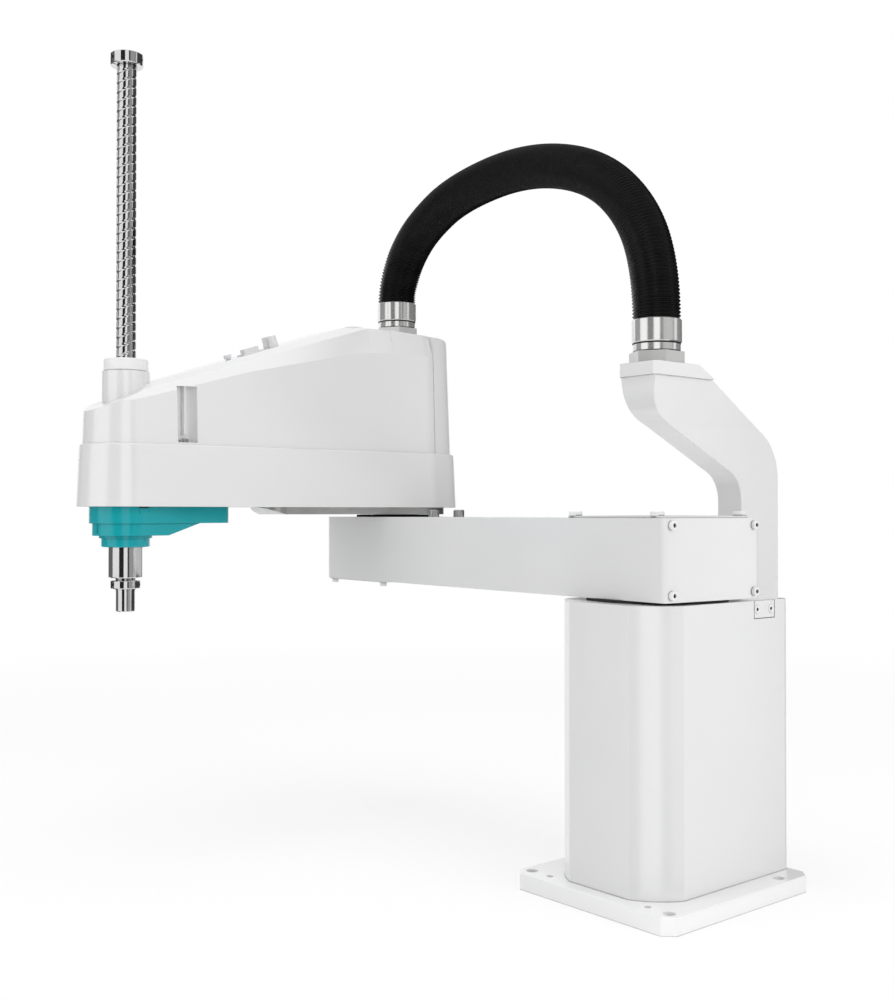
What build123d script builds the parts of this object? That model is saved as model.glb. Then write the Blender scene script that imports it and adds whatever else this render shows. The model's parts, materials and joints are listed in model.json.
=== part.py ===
from build123d import *
import os
from math import asin, atan, cos, pi, radians, sin, sqrt, tan

# A four-axis SCARA robot. It stands on a bolted base plate: a hollow column carries the inner arm
# on the shoulder axis, the inner arm carries the outer arm on the elbow axis, and the outer arm
# carries a ball-screw-spline quill that rises, falls and turns. A gooseneck duct and a corrugated
# conduit bring the wiring from the column to the outer arm.
# All lengths are millimetres and all angles degrees. The origin is on the shoulder axis at the
# underside of the base plate, +X is the front of the base, +Y its left and +Z up. The arms stand
# as photographed.

# Reach, pose and travel
ARM_1_LENGTH = 550.0
ARM_2_LENGTH = 450.0
SHOULDER_ANGLE = -93.5
ELBOW_ANGLE = 92.7
RUN_GAP = 0.3
SHAFT_FIT = 0.05
SCREW_GAP = 0.4
SCREW_END_GAP = 2.0
# A socket head against its shank, and its hexagon and rim against the head
HEAD_RATIO = 1.6
SOCKET_RATIO = 0.28
SOCKET_DEPTH_RATIO = 0.6
HEAD_EDGE_RATIO = 0.125

# Base plate
PLATE_LENGTH = 264.0
PLATE_WIDTH = 240.0
PLATE_THICK = 20.0
PLATE_FRONT = 124.0
PLATE_CORNER = 12.5
PLATE_EDGE = 1.0
BOLT_SPACING_X = 200.0
BOLT_SPACING_Y = 210.0
BOLT_CENTRE_X = 6.0
BOLT_HOLE_D = 14.0
DOWEL_SPACING = 150.0
DOWEL_D = 8.0

# Column
COLUMN_LENGTH = 244.0
COLUMN_WIDTH = 178.0
COLUMN_TOP = 347.0
COLUMN_CORNER = 44.0
COLUMN_BOW = 5.3
COLUMN_REAR_CORNER = 10.0
COLUMN_WALL = 8.0
COLUMN_ROOF = 14.0
FOOT_SPACING_X = 150.0
FOOT_SPACING_Y = 148.0
FOOT_SCREW_D = 8.0
FOOT_SCREW_LENGTH = 24.0
FOOT_BORE_D = 16.0
FOOT_BOSS_D = 22.0
STOP_PLATE_LENGTH = 40.0
STOP_PLATE_HEIGHT = 21.0
STOP_PLATE_THICK = 4.0
STOP_PLATE_BACK = 90.0
STOP_SCREW_SPACING = 27.0
STOP_SCREW_D = 5.0

# Rear panel and its connections
PANEL_WIDTH = 130.0
PANEL_HEIGHT = 130.0
PANEL_BOTTOM = 45.0
PANEL_THICK = 3.0
PANEL_LIP = 10.0
PANEL_CORNER = 6.0
PANEL_SCREW_D = 4.0
POWER_WIDTH = 64.0
POWER_HEIGHT = 30.0
POWER_DEPTH = 22.0
POWER_RISE = 32.0
SIGNAL_D = 28.0
SIGNAL_DEPTH = 20.0
SIGNAL_OFFSET = 36.0
SIGNAL_DROP = 28.0
SOCKET_WALL = 3.0
AIR_D = 12.0
AIR_HEX = 13.0
AIR_LENGTH = 16.0
AIR_SPACING = 22.0
AIR_OFFSET = 22.0

# Shoulder drive
SHOULDER_DRIVE_D = 132.0
SHOULDER_DRIVE_HEIGHT = 62.0
SHOULDER_DRIVE_LIP_D = 152.0
SHOULDER_SEAL_D = 168.0
SHOULDER_SEAL_WALL = 10.0
SHOULDER_FLANGE_D = 116.0
SHOULDER_STUB_D = 84.0
SHOULDER_MOTOR_SIDE = 86.0
SHOULDER_MOTOR_HEIGHT = 150.0
DRIVE_LIP = 8.0
STUB_DEPTH = 10.0
FLANGE_SCREWS = 8
FLANGE_SCREW_D = 8.0

# Gooseneck duct
DUCT_DEPTH = 78.0
DUCT_WIDTH = 36.0
DUCT_WALL = 4.0
DUCT_GAP = 2.0
DUCT_FOOT = 205.0
DUCT_BEND = 492.0
DUCT_BEND_RADIUS = 40.0
DUCT_UNDER_SLOPE = 24.6
DUCT_TOP_SLOPE = 27.9
DUCT_TOP = 629.0
DUCT_BACK_RADIUS = 66.0
HEAD_FRONT = 37.0
HEAD_REAR = 42.0
HEAD_NOSE_RADIUS = 44.0
HEAD_LIP = 16.0
HEAD_LIP_STEP = 3.0
HEAD_WIDTH = 61.0
HEAD_NECK_WIDTH = 53.0
HEAD_FLARE_FROM = 556.0
HEAD_CORNER = 5.0
BRACKET_WIDTH = 92.0
BRACKET_THICK = 10.0
BRACKET_HEIGHT = 124.0
BRACKET_DROP = 6.0
BRACKET_SCREW_D = 8.0
BRACKET_SCREW_Y = 68.0
BRACKET_SCREW_Z = 100.0

# Conduit and its swivel fittings
HOSE_D = 58.0
HOSE_WALL = 4.0
HEX_FLATS = 58.0
HEX_HEIGHT = 14.0
SWIVEL_D = 57.0
SWIVEL_HEIGHT = 11.0
NUT_D = 60.0
NUT_HEIGHT = 28.0
NUT_EDGE = 1.0
FITTING_BORE = 40.0
SPIGOT_D = 46.0
SPIGOT_DEPTH = 8.0
# An arc's share of the shorter run beside it, and how far out along the inner arm and how high
# the conduit's route runs
ARC_SHARE = 0.45
HOSE_ROUTE = [(0, 682), (0, 738), (30, 820), (107, 888), (240, 925), (393, 917),
              (478, 884), (522, 848), (543, 812), (550, 789), (550, 775.5)]

# Inner arm
ARM_1_BOTTOM = 350.5
ARM_1_HEIGHT = 94.5
ARM_1_WIDTH = 160.0
ARM_1_REAR = 88.0
ARM_1_TIP = 78.0
ARM_1_WALL = 8.0
ARM_1_CORNER = 10.0
ARM_1_EDGE = 2.0
END_COVER_THICK = 6.0
END_SCREW_Y = 140.0
END_SCREW_Z = 78.0
END_SCREW_D = 6.0
HATCH_LENGTH = 116.0
TOP_COVER_LENGTH = 152.0
TOP_COVER_THICK = 2.5
BOTTOM_COVER_THICK = 2.0
COVER_SCREW_X = 134.0
COVER_SCREW_Y = 140.0
COVER_SCREW_D = 5.0
CAP_HEAD_D = 10.0
CAP_HEAD = 5.5
BIG_HEAD_D = 16.0
BIG_HEAD = 5.0

# Elbow drive and its stops
ELBOW_DRIVE_D = 112.0
ELBOW_DRIVE_HEIGHT = 60.0
ELBOW_DRIVE_LIP_D = 132.0
ELBOW_FLANGE_D = 100.0
ELBOW_STUB_D = 70.0
ELBOW_SEAL_D = 124.0
ELBOW_SEAL_WALL = 10.0
ELBOW_GAP = 3.5
ELBOW_MOTOR_SIDE = 90.0
ELBOW_MOTOR_HEIGHT = 150.0
STOP_BOLT_BACK = 129.0
STOP_BOLT_SPACING = 46.0
STOP_BOLT_HEAD_D = 16.0
STOP_BOLT_HEAD = 10.5
STOP_BOLT_D = 8.0

# Outer arm: frame and covers
BOSS_D = 146.0
UNDER_TIP_R = 38.0
UNDER_GAP = 45.0
UNDER_THICK = 10.5
UNDER_END_SLOPE = 30.0
FRAME_THICK = 12.0
FRAME_GAP = 1.0
SKIRT_BOTTOM = 459.0
SKIRT_HEIGHT = 81.6
SKIRT_ELBOW_R = 92.0
SKIRT_QUILL_R = 63.0
SKIRT_DRAFT = 2.5
SKIRT_EDGE = 2.5
COVER_ELBOW_R = 81.5
COVER_QUILL_R = 55.8
COVER_DRAFT = 2.0
COVER_WALL = 3.0
COVER_REAR = 11.0
CREST_X = 118.0
CREST_Z = 726.0
CREST_RADIUS = 80.0
# The roof's height over the quill's axis, had it no step, and the nose that it steps down to
ROOF_FRONT_Z = 615.0
NOSE_STEP = 15.0
NOSE_Z = 608.5
NOSE_SLOPE = 25.0
ROOF_FALL = 3.1
BEVEL_ANGLE = 17.0
BEVEL_INSET = 11.0
BEVEL_SHOULDER = 14.0
BEVEL_CREASE = 686.5
MID_EDGE_Z = 722.0
MID_EDGE_X = 99.0
MID_EDGE_SLOPE = 17.7
# Where the crease of the side wall runs: out from the elbow axis and up
CREASE_LINE = [(60, 686.5), (99, 685), (131, 680.5), (165, 673), (300, 643), (455, 598.5), (530, 574)]
FITTING_SEAT = 722.5
FITTING_PAD_D = 72.0
FITTING_PAD = 7.5
REAR_COVER_TOP = 718.0
REAR_COVER_R = 83.1
REAR_COVER_EDGE = 5.0
RECESS_BACK = 60.0
RECESS_R = 14.0
RECESS_TOP = 618.0
RECESS_SCREW_D = 5.0
RECESS_RIB = 3.0
RECESS_RIB_DEPTH = 6.0
RECESS_RIB_LIFT = 12.0
GUARD_D = 62.0
GUARD_TOP = 637.0
GUARD_BOTTOM = 585.0
GUARD_WALL = 3.0
GUARD_CAP_D = 57.8
GUARD_CAP_HEIGHT = 16.5
GUARD_CAP_SPIGOT = 5.0

# Things on the sloping roof
BUTTON_X = 305.0
BUTTON_D = 11.0
BUTTON_STEM_D = 7.0
BUTTON_HEIGHT = 5.0
BUTTON_TRAVEL = 2.0
BUTTON_RING = 2.0
CONNECTOR_X = 270.0
CONNECTOR_LENGTH = 32.0
CONNECTOR_WIDTH = 22.0
CONNECTOR_HEIGHT = 8.0
CONNECTOR_WALL = 2.0
AIR_PORT_X = 236.0
AIR_PORT_SPACING = 16.0
ROOF_SIDE = 15.0

# Quill housing under the outer arm
HOUSING_R = 47.0
HOUSING_TIP_R = 20.0
HOUSING_LENGTH = 131.0
HOUSING_BAND = 22.0
HOUSING_STEP = 4.0
HOUSING_BELLY = 16.0
HOUSING_WALL = 3.0
BELLY_SLOPE_FROM = 45.0
BELLY_SLOPE_TO = 97.0
NECK_LIP_D = 69.0
NECK_LIP = 3.5
NECK_D = 62.6
NECK_HEIGHT = 11.5
NECK_SPIGOT_D = 60.0

# Quill
SHAFT_D = 26.0
SHAFT_BORE = 14.0
SHAFT_BOTTOM = 320.6
SHAFT_TOP = 1059.0
SHAFT_EDGE = 1.0
TOOL_SEAT_D = 25.0
TOOL_SEAT_HEIGHT = 28.0
SPLINE_GROOVE_D = 3.2
SPLINE_GROOVES = 6
TOP_COLLAR_D = 43.0
TOP_COLLAR_HEIGHT = 15.5
LOWER_COLLAR_D = 39.2
LOWER_COLLAR_HEIGHT = 11.0
LOWER_COLLAR_TOP = 362.0
COLLAR_SLOT = 2.0
SLEEVE_D = 44.6
SLEEVE_BOTTOM = 365.4
SLEEVE_TOP = 424.0
SPLINE_NUT_D = 52.0
SPLINE_NUT_TOP = 501.0
BALL_NUT_D = 46.0
BALL_NUT_BOTTOM = 508.0
BALL_NUT_TOP = 576.0

# Tower, bearings, belts and motors of the quill
BEARING_D = 68.0
BEARING_WIDTH = 16.0
TOWER_D = 84.0
TOWER_TOP = 546.0
TOWER_LEDGE = 2.0
BEARING_PITCH = 22.0
BALL_BEARING_BOTTOM = 526.0
PULLEY_WIDTH = 12.0
PULLEY_RIM = 1.5
PULLEY_RIM_WIDTH = 1.5
BELT_THICK = 2.5
ROLL_PULLEY_Z = 441.0
SPLINE_PULLEY_D = 64.0
ROLL_CENTRES = 128.0
ROLL_MOTOR_SIDE = 60.0
ROLL_MOTOR_HEIGHT = 74.0
ROLL_MOTOR_SHAFT_D = 10.0
ROLL_PULLEY_D = 24.0
LIFT_PULLEY_Z = 560.0
BALL_PULLEY_D = 58.0
LIFT_CENTRES = 245.0
LIFT_MOTOR_SIDE = 80.0
LIFT_MOTOR_HEIGHT = 56.0
LIFT_MOTOR_SHAFT_D = 14.0
LIFT_PULLEY_D = 36.0
BRAKE_D = 70.0
BRAKE_HEIGHT = 30.0
MOTOR_CORNER = 8.0
ENCODER_HEIGHT = 28.0
ENCODER_INSET = 5.0

os.makedirs("parts", exist_ok=True)


def heading(turn):
    """The direction in plan at an angle from the front of the base."""
    return Vector(cos(radians(turn)), sin(radians(turn)), 0)


arm_1 = Plane(origin=(0, 0, 0), x_dir=heading(SHOULDER_ANGLE), z_dir=(0, 0, 1))
elbow = arm_1.from_local_coords((ARM_1_LENGTH, 0, 0))
arm_2 = Plane(origin=elbow, x_dir=heading(SHOULDER_ANGLE + ELBOW_ANGLE), z_dir=(0, 0, 1))


def spot(plane, x, y, lift=0.0):
    """The same plane, set on another of its points and lifted along its normal."""
    return Plane(plane.from_local_coords((x, y, lift)), x_dir=plane.x_dir, z_dir=plane.z_dir)


def facing_down(plane):
    """The plane turned over, so that it faces the other way."""
    return Plane(plane.origin, x_dir=plane.x_dir, z_dir=-plane.z_dir)


def upright(frame, across=0.0):
    """A vertical plane along an arm: x runs outwards, y runs up and it faces the arm's right."""
    return Plane(frame.from_local_coords((0, across, 0)), x_dir=frame.x_dir, z_dir=-frame.y_dir)


def crosswise(frame, along=0.0):
    """A vertical plane across an arm: x runs to the left and y runs up."""
    return Plane(frame.from_local_coords((along, 0, 0)), x_dir=frame.y_dir, z_dir=frame.x_dir)


def pattern(plane, spacing_x, spacing_y):
    """Four seats on a plane, at the corners of a rectangle round its origin."""
    return [spot(plane, x, y) for x in (-spacing_x / 2, spacing_x / 2)
            for y in (-spacing_y / 2, spacing_y / 2)]


def ring_of(plane, radius, count):
    """Seats on a circle round a plane's origin."""
    return [spot(plane, radius * cos(2 * pi * i / count), radius * sin(2 * pi * i / count))
            for i in range(count)]


def oval(plane, root, tip, length):
    """The outline round two unlike circles, a length apart, joined by their tangents."""
    lean = asin((root - tip) / length)
    near = (root * sin(lean), root * cos(lean))
    far = (length + tip * sin(lean), tip * cos(lean))
    with BuildSketch(plane, mode=Mode.PRIVATE) as outline:
        with BuildLine():
            Line((near[0], -near[1]), (far[0], -far[1]))
            ThreePointArc((far[0], -far[1]), (length + tip, 0), far)
            Line(far, near)
            ThreePointArc(near, (-root, 0), (near[0], -near[1]))
        make_face()
    return outline.sketch


def bar(plane, diameter, height, bore=0.0):
    """A round bar or tube that stands on a plane."""
    with BuildPart(mode=Mode.PRIVATE) as piece:
        with BuildSketch(plane):
            Circle(diameter / 2)
            if bore:
                Circle(bore / 2, mode=Mode.SUBTRACT)
        extrude(amount=height)
    return piece.part


def drillings(seats, diameter, depth):
    """Plain round holes, from each seat into what lies behind it."""
    return [bar(facing_down(seat), diameter, depth) for seat in seats]


def cap_screw(seat, head_d, head, shank_d, shank):
    """A socket head screw on its seat, which faces the head."""
    with BuildPart(mode=Mode.PRIVATE) as screw:
        add(bar(seat, head_d, head))
        rims = screw.edges().filter_by(GeomType.CIRCLE).sort_by(Axis(seat.origin, seat.z_dir))
        chamfer(rims[-1], head * HEAD_EDGE_RATIO)
        add(bar(facing_down(seat), shank_d, shank))
        with BuildSketch(spot(seat, 0, 0, head)):
            RegularPolygon(head_d * SOCKET_RATIO, 6)
        extrude(amount=-head * SOCKET_DEPTH_RATIO, mode=Mode.SUBTRACT)
    return screw.part


def cap_screws(seats, head_d, head, shank_d, shank):
    return [cap_screw(seat, head_d, head, shank_d, shank) for seat in seats]


def pulley(plane, diameter, bore):
    """A belt pulley with a rim at each side."""
    rim_d = diameter + 2 * (BELT_THICK + PULLEY_RIM)
    with BuildPart(mode=Mode.PRIVATE) as wheel:
        add(bar(plane, diameter, PULLEY_WIDTH, bore))
        for lift in (0, PULLEY_WIDTH - PULLEY_RIM_WIDTH):
            add(bar(spot(plane, 0, 0, lift), rim_d, PULLEY_RIM_WIDTH, bore))
    return wheel.part


def belt(plane, root_d, tip_d, length):
    """A belt round two pulleys, a running gap off their faces and rims."""
    start = spot(plane, 0, 0, PULLEY_RIM_WIDTH + RUN_GAP)
    inner = oval(start, root_d / 2 + RUN_GAP, tip_d / 2 + RUN_GAP, length)
    outer = oval(start, root_d / 2 + BELT_THICK, tip_d / 2 + BELT_THICK, length)
    with BuildPart(mode=Mode.PRIVATE) as loop:
        extrude(outer, amount=PULLEY_WIDTH - 2 * (PULLEY_RIM_WIDTH + RUN_GAP))
        extrude(inner, amount=PULLEY_WIDTH - 2 * (PULLEY_RIM_WIDTH + RUN_GAP), mode=Mode.SUBTRACT)
    return loop.part


def servo_motor(plane, side, height):
    """A square motor with cut corners and a smaller encoder cap at its far end."""
    with BuildPart(mode=Mode.PRIVATE) as motor:
        with BuildSketch(plane) as flange:
            Rectangle(side, side)
            chamfer(flange.vertices(), MOTOR_CORNER)
        extrude(amount=height - ENCODER_HEIGHT)
        with BuildSketch(spot(plane, 0, 0, height - ENCODER_HEIGHT)) as cap:
            Rectangle(side - 2 * ENCODER_INSET, side - 2 * ENCODER_INSET)
            fillet(cap.vertices(), MOTOR_CORNER)
        extrude(amount=ENCODER_HEIGHT)
    return motor.part


# Base plate

column_x = PLATE_FRONT - PLATE_LENGTH + COLUMN_LENGTH / 2
column_rear = column_x - COLUMN_LENGTH / 2
column_side = COLUMN_WIDTH / 2
foot_seats = pattern(Plane((column_x, 0, FOOT_SCREW_D), z_dir=(0, 0, -1)), FOOT_SPACING_X, FOOT_SPACING_Y)
foot_heads = [bar(seat, FOOT_BORE_D, FOOT_SCREW_D) for seat in foot_seats]
foot_holes = drillings(foot_seats, FOOT_SCREW_D + SCREW_GAP, FOOT_SCREW_LENGTH + SCREW_END_GAP)

with BuildPart() as base_plate:
    with BuildSketch():
        with Locations((PLATE_FRONT - PLATE_LENGTH / 2, 0)):
            Rectangle(PLATE_LENGTH, PLATE_WIDTH)
    extrude(amount=PLATE_THICK)
    chamfer(base_plate.edges().filter_by(Axis.Z), PLATE_CORNER)
    chamfer(base_plate.faces().sort_by(Axis.Z)[-1].edges(), PLATE_EDGE)
    with Locations((BOLT_CENTRE_X, 0, PLATE_THICK)):
        with GridLocations(BOLT_SPACING_X, BOLT_SPACING_Y, 2, 2):
            Hole(BOLT_HOLE_D / 2)
    with Locations((BOLT_CENTRE_X + BOLT_SPACING_X / 2, 0, PLATE_THICK)):
        with GridLocations(0, DOWEL_SPACING, 1, 2):
            Hole(DOWEL_D / 2)
    add(foot_heads + foot_holes, mode=Mode.SUBTRACT)
base_plate.part.label = "base_plate"
export_step(base_plate.part, "parts/base_plate.step")

with BuildPart() as column_foot_screws:
    add(cap_screws(foot_seats, FOOT_SCREW_D * HEAD_RATIO, FOOT_SCREW_D - RUN_GAP, FOOT_SCREW_D,
                   FOOT_SCREW_LENGTH))
column_foot_screws.part.label = "column_foot_screws"
export_step(column_foot_screws.part, "parts/column_foot_screws.step")


# Column

def column_outline(inset):
    """The column in plan: bowed cuts across the front corners and small round rear ones."""
    front = column_x + COLUMN_LENGTH / 2 - inset
    rear = column_rear + inset
    side = column_side - inset
    cut = COLUMN_CORNER - inset * (2 - sqrt(2))
    bow = COLUMN_BOW / sqrt(2) - cut / 2
    with BuildSketch(Plane.XY.offset(PLATE_THICK), mode=Mode.PRIVATE) as outline:
        with BuildLine():
            Line((front, cut - side), (front, side - cut))
            ThreePointArc((front, side - cut), (front + bow, side + bow), (front - cut, side))
            Polyline((front - cut, side), (rear, side), (rear, -side), (front - cut, -side))
            ThreePointArc((front - cut, -side), (front + bow, -side - bow), (front, cut - side))
        make_face()
        fillet(outline.vertices().group_by(Axis.X)[0], COLUMN_REAR_CORNER - inset)
    return outline.sketch


rear_face = Plane((column_rear, 0, 0), x_dir=(0, -1, 0), z_dir=(-1, 0, 0))
panel_z = PANEL_BOTTOM + PANEL_HEIGHT / 2
bracket_z = COLUMN_TOP - BRACKET_DROP - BRACKET_HEIGHT / 2
stop_seat = Plane((-STOP_PLATE_BACK, column_side, COLUMN_TOP - STOP_PLATE_HEIGHT / 2),
                  x_dir=(-1, 0, 0), z_dir=(0, 1, 0))
panel_seats = pattern(spot(rear_face, 0, panel_z, PANEL_THICK), PANEL_WIDTH + PANEL_LIP,
                      PANEL_HEIGHT + PANEL_LIP)
bracket_seats = pattern(spot(rear_face, 0, bracket_z, BRACKET_THICK), BRACKET_SCREW_Y, BRACKET_SCREW_Z)
stop_seats = [spot(stop_seat, x, 0) for x in (-STOP_SCREW_SPACING / 2, STOP_SCREW_SPACING / 2)]
panel_holes = drillings(panel_seats, PANEL_SCREW_D + SCREW_GAP, PANEL_THICK + COLUMN_WALL)
bracket_holes = drillings(bracket_seats, BRACKET_SCREW_D + SCREW_GAP, BRACKET_THICK + COLUMN_WALL)
stop_holes = drillings(stop_seats, STOP_SCREW_D + SCREW_GAP, COLUMN_WALL)
foot_bosses = [bar(facing_down(seat), FOOT_BOSS_D, FOOT_SCREW_LENGTH + 2 * FOOT_SCREW_D)
               for seat in foot_seats]

with BuildPart() as base_column:
    extrude(column_outline(0.0), amount=COLUMN_TOP - PLATE_THICK)
    extrude(column_outline(COLUMN_WALL), amount=COLUMN_TOP - PLATE_THICK - COLUMN_ROOF, mode=Mode.SUBTRACT)
    add(foot_bosses)
    with BuildSketch(Plane.XY):
        Rectangle(2 * PLATE_LENGTH, 2 * PLATE_WIDTH)
    extrude(amount=PLATE_THICK, mode=Mode.SUBTRACT)
    with BuildSketch(Plane.XY.offset(COLUMN_TOP)):
        Circle(SHOULDER_DRIVE_D / 2 + RUN_GAP)
    extrude(amount=-COLUMN_ROOF, mode=Mode.SUBTRACT)
    with BuildSketch(rear_face):
        with Locations((0, panel_z)):
            RectangleRounded(PANEL_WIDTH, PANEL_HEIGHT, PANEL_CORNER)
        with Locations((0, bracket_z)):
            RectangleRounded(DUCT_WIDTH - 2 * DUCT_WALL, BRACKET_HEIGHT / 2, PANEL_CORNER)
    extrude(amount=-COLUMN_WALL, mode=Mode.SUBTRACT)
    with BuildSketch(stop_seat):
        Rectangle(STOP_PLATE_LENGTH, STOP_PLATE_HEIGHT)
    extrude(amount=-STOP_PLATE_THICK, mode=Mode.SUBTRACT)
    add(foot_holes + panel_holes + bracket_holes + stop_holes, mode=Mode.SUBTRACT)
base_column.part.label = "base_column"
export_step(base_column.part, "parts/base_column.step")

with BuildPart() as shoulder_stop_plate:
    with BuildSketch(stop_seat):
        Rectangle(STOP_PLATE_LENGTH - RUN_GAP, STOP_PLATE_HEIGHT - RUN_GAP)
    extrude(amount=-STOP_PLATE_THICK)
    with Locations(*stop_seats):
        CounterSinkHole((STOP_SCREW_D + SCREW_GAP) / 2, STOP_SCREW_D + SCREW_GAP)
shoulder_stop_plate.part.label = "shoulder_stop_plate"
export_step(shoulder_stop_plate.part, "parts/shoulder_stop_plate.step")

# The heads sink flush into the stop plate; the others stand on the bracket and on the panel.
sunk_screws = []
for seat in stop_seats:
    with BuildPart() as screw:
        with BuildSketch(seat):
            Circle(STOP_SCREW_D)
        extrude(amount=-STOP_SCREW_D / 2, taper=45)
        add(bar(facing_down(seat), STOP_SCREW_D, COLUMN_WALL))
        with BuildSketch(seat):
            RegularPolygon(STOP_SCREW_D / 2, 6)
        extrude(amount=-STOP_SCREW_D / 2, mode=Mode.SUBTRACT)
    sunk_screws.append(screw.part)

with BuildPart() as base_screws:
    add(sunk_screws)
    add(cap_screws(bracket_seats, BRACKET_SCREW_D * HEAD_RATIO, BRACKET_SCREW_D, BRACKET_SCREW_D,
                   BRACKET_THICK + COLUMN_WALL))
    add(cap_screws(panel_seats, PANEL_SCREW_D * HEAD_RATIO, PANEL_SCREW_D, PANEL_SCREW_D,
                   PANEL_THICK + COLUMN_WALL))
base_screws.part.label = "base_screws"
export_step(base_screws.part, "parts/base_screws.step")


# Rear panel with the power, signal and air connections

panel_face = spot(rear_face, 0, panel_z, PANEL_THICK)
power_seat = spot(panel_face, 0, POWER_RISE)
signal_seat = spot(panel_face, SIGNAL_OFFSET, -SIGNAL_DROP)
air_seats = [spot(panel_face, -AIR_OFFSET + x, -SIGNAL_DROP) for x in (-AIR_SPACING / 2, AIR_SPACING / 2)]

with BuildPart() as base_rear_cover:
    with BuildSketch(rear_face):
        with Locations((0, panel_z)):
            RectangleRounded(PANEL_WIDTH + 2 * PANEL_LIP, PANEL_HEIGHT + 2 * PANEL_LIP, PANEL_CORNER)
    extrude(amount=PANEL_THICK)
    add(panel_holes, mode=Mode.SUBTRACT)
base_rear_cover.part.label = "base_rear_cover"
export_step(base_rear_cover.part, "parts/base_rear_cover.step")

with BuildPart() as power_connector:
    with BuildSketch(power_seat):
        RectangleRounded(POWER_WIDTH + 4 * SOCKET_WALL, POWER_HEIGHT + 2 * SOCKET_WALL, SOCKET_WALL)
    extrude(amount=2 * SOCKET_WALL)
    with BuildSketch(power_seat):
        RectangleRounded(POWER_WIDTH, POWER_HEIGHT, SOCKET_WALL)
    extrude(amount=POWER_DEPTH)
    with BuildSketch(spot(power_seat, 0, 0, POWER_DEPTH)):
        Rectangle(POWER_WIDTH - 2 * SOCKET_WALL, POWER_HEIGHT - 2 * SOCKET_WALL)
    extrude(amount=-POWER_DEPTH + SOCKET_WALL, mode=Mode.SUBTRACT)
power_connector.part.label = "power_connector"
export_step(power_connector.part, "parts/power_connector.step")

with BuildPart() as signal_connector:
    with BuildSketch(signal_seat):
        RectangleRounded(SIGNAL_D + 2 * SOCKET_WALL, SIGNAL_D + 2 * SOCKET_WALL, SOCKET_WALL)
    extrude(amount=SOCKET_WALL)
    add(bar(signal_seat, SIGNAL_D, SIGNAL_DEPTH))
    add(bar(spot(signal_seat, 0, 0, SOCKET_WALL), SIGNAL_D - 2 * SOCKET_WALL, SIGNAL_DEPTH),
        mode=Mode.SUBTRACT)
signal_connector.part.label = "signal_connector"
export_step(signal_connector.part, "parts/signal_connector.step")


def air_fitting(seat):
    """A push-in air fitting with a hexagonal foot."""
    with BuildPart(mode=Mode.PRIVATE) as fitting:
        with BuildSketch(seat):
            RegularPolygon(AIR_HEX / 2, 6, major_radius=False)
        extrude(amount=AIR_LENGTH / 3)
        add(bar(seat, AIR_D, AIR_LENGTH))
        add(bar(spot(seat, 0, 0, AIR_LENGTH / 3), AIR_D / 2, AIR_LENGTH), mode=Mode.SUBTRACT)
    return fitting.part


with BuildPart() as base_air_fittings:
    add([air_fitting(seat) for seat in air_seats])
base_air_fittings.part.label = "base_air_fittings"
export_step(base_air_fittings.part, "parts/base_air_fittings.step")


# Shoulder drive

drive_top = Plane.XY.offset(COLUMN_TOP)
arm_foot = Plane.XY.offset(ARM_1_BOTTOM)
shoulder_screws = ring_of(Plane.XY.offset(ARM_1_BOTTOM + ARM_1_WALL), SHOULDER_STUB_D / 2 - FLANGE_SCREW_D,
                          FLANGE_SCREWS)
shoulder_holes = drillings(shoulder_screws, FLANGE_SCREW_D + SCREW_GAP, ARM_1_WALL + STUB_DEPTH)

with BuildPart() as shoulder_reducer:
    add(bar(drive_top, SHOULDER_DRIVE_D, -SHOULDER_DRIVE_HEIGHT))
    add(bar(Plane.XY.offset(COLUMN_TOP - COLUMN_ROOF), SHOULDER_DRIVE_LIP_D, -DRIVE_LIP))
    add(bar(drive_top, SHOULDER_STUB_D + 2 * RUN_GAP, -STUB_DEPTH - RUN_GAP), mode=Mode.SUBTRACT)
shoulder_reducer.part.label = "shoulder_reducer"
export_step(shoulder_reducer.part, "parts/shoulder_reducer.step")

with BuildPart() as shoulder_motor:
    add(servo_motor(facing_down(Plane.XY.offset(COLUMN_TOP - SHOULDER_DRIVE_HEIGHT)),
                    SHOULDER_MOTOR_SIDE, SHOULDER_MOTOR_HEIGHT))
shoulder_motor.part.label = "shoulder_motor"
export_step(shoulder_motor.part, "parts/shoulder_motor.step")

with BuildPart() as shoulder_seal_ring:
    add(bar(drive_top, SHOULDER_SEAL_D, ARM_1_BOTTOM - COLUMN_TOP - RUN_GAP,
            SHOULDER_SEAL_D - 2 * SHOULDER_SEAL_WALL))
shoulder_seal_ring.part.label = "shoulder_seal_ring"
export_step(shoulder_seal_ring.part, "parts/shoulder_seal_ring.step")

with BuildPart() as shoulder_output_flange:
    add(bar(arm_foot, SHOULDER_FLANGE_D, -(ARM_1_BOTTOM - COLUMN_TOP - RUN_GAP)))
    add(bar(arm_foot, SHOULDER_STUB_D, -(ARM_1_BOTTOM - COLUMN_TOP - RUN_GAP) - STUB_DEPTH))
    add(shoulder_holes, mode=Mode.SUBTRACT)
shoulder_output_flange.part.label = "shoulder_output_flange"
export_step(shoulder_output_flange.part, "parts/shoulder_output_flange.step")


# Gooseneck duct on the column's rear

duct_front = column_rear - DUCT_GAP
duct_back = duct_front - DUCT_DEPTH
under_rise = tan(radians(DUCT_UNDER_SLOPE))
top_fall = tan(radians(DUCT_TOP_SLOPE))


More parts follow.
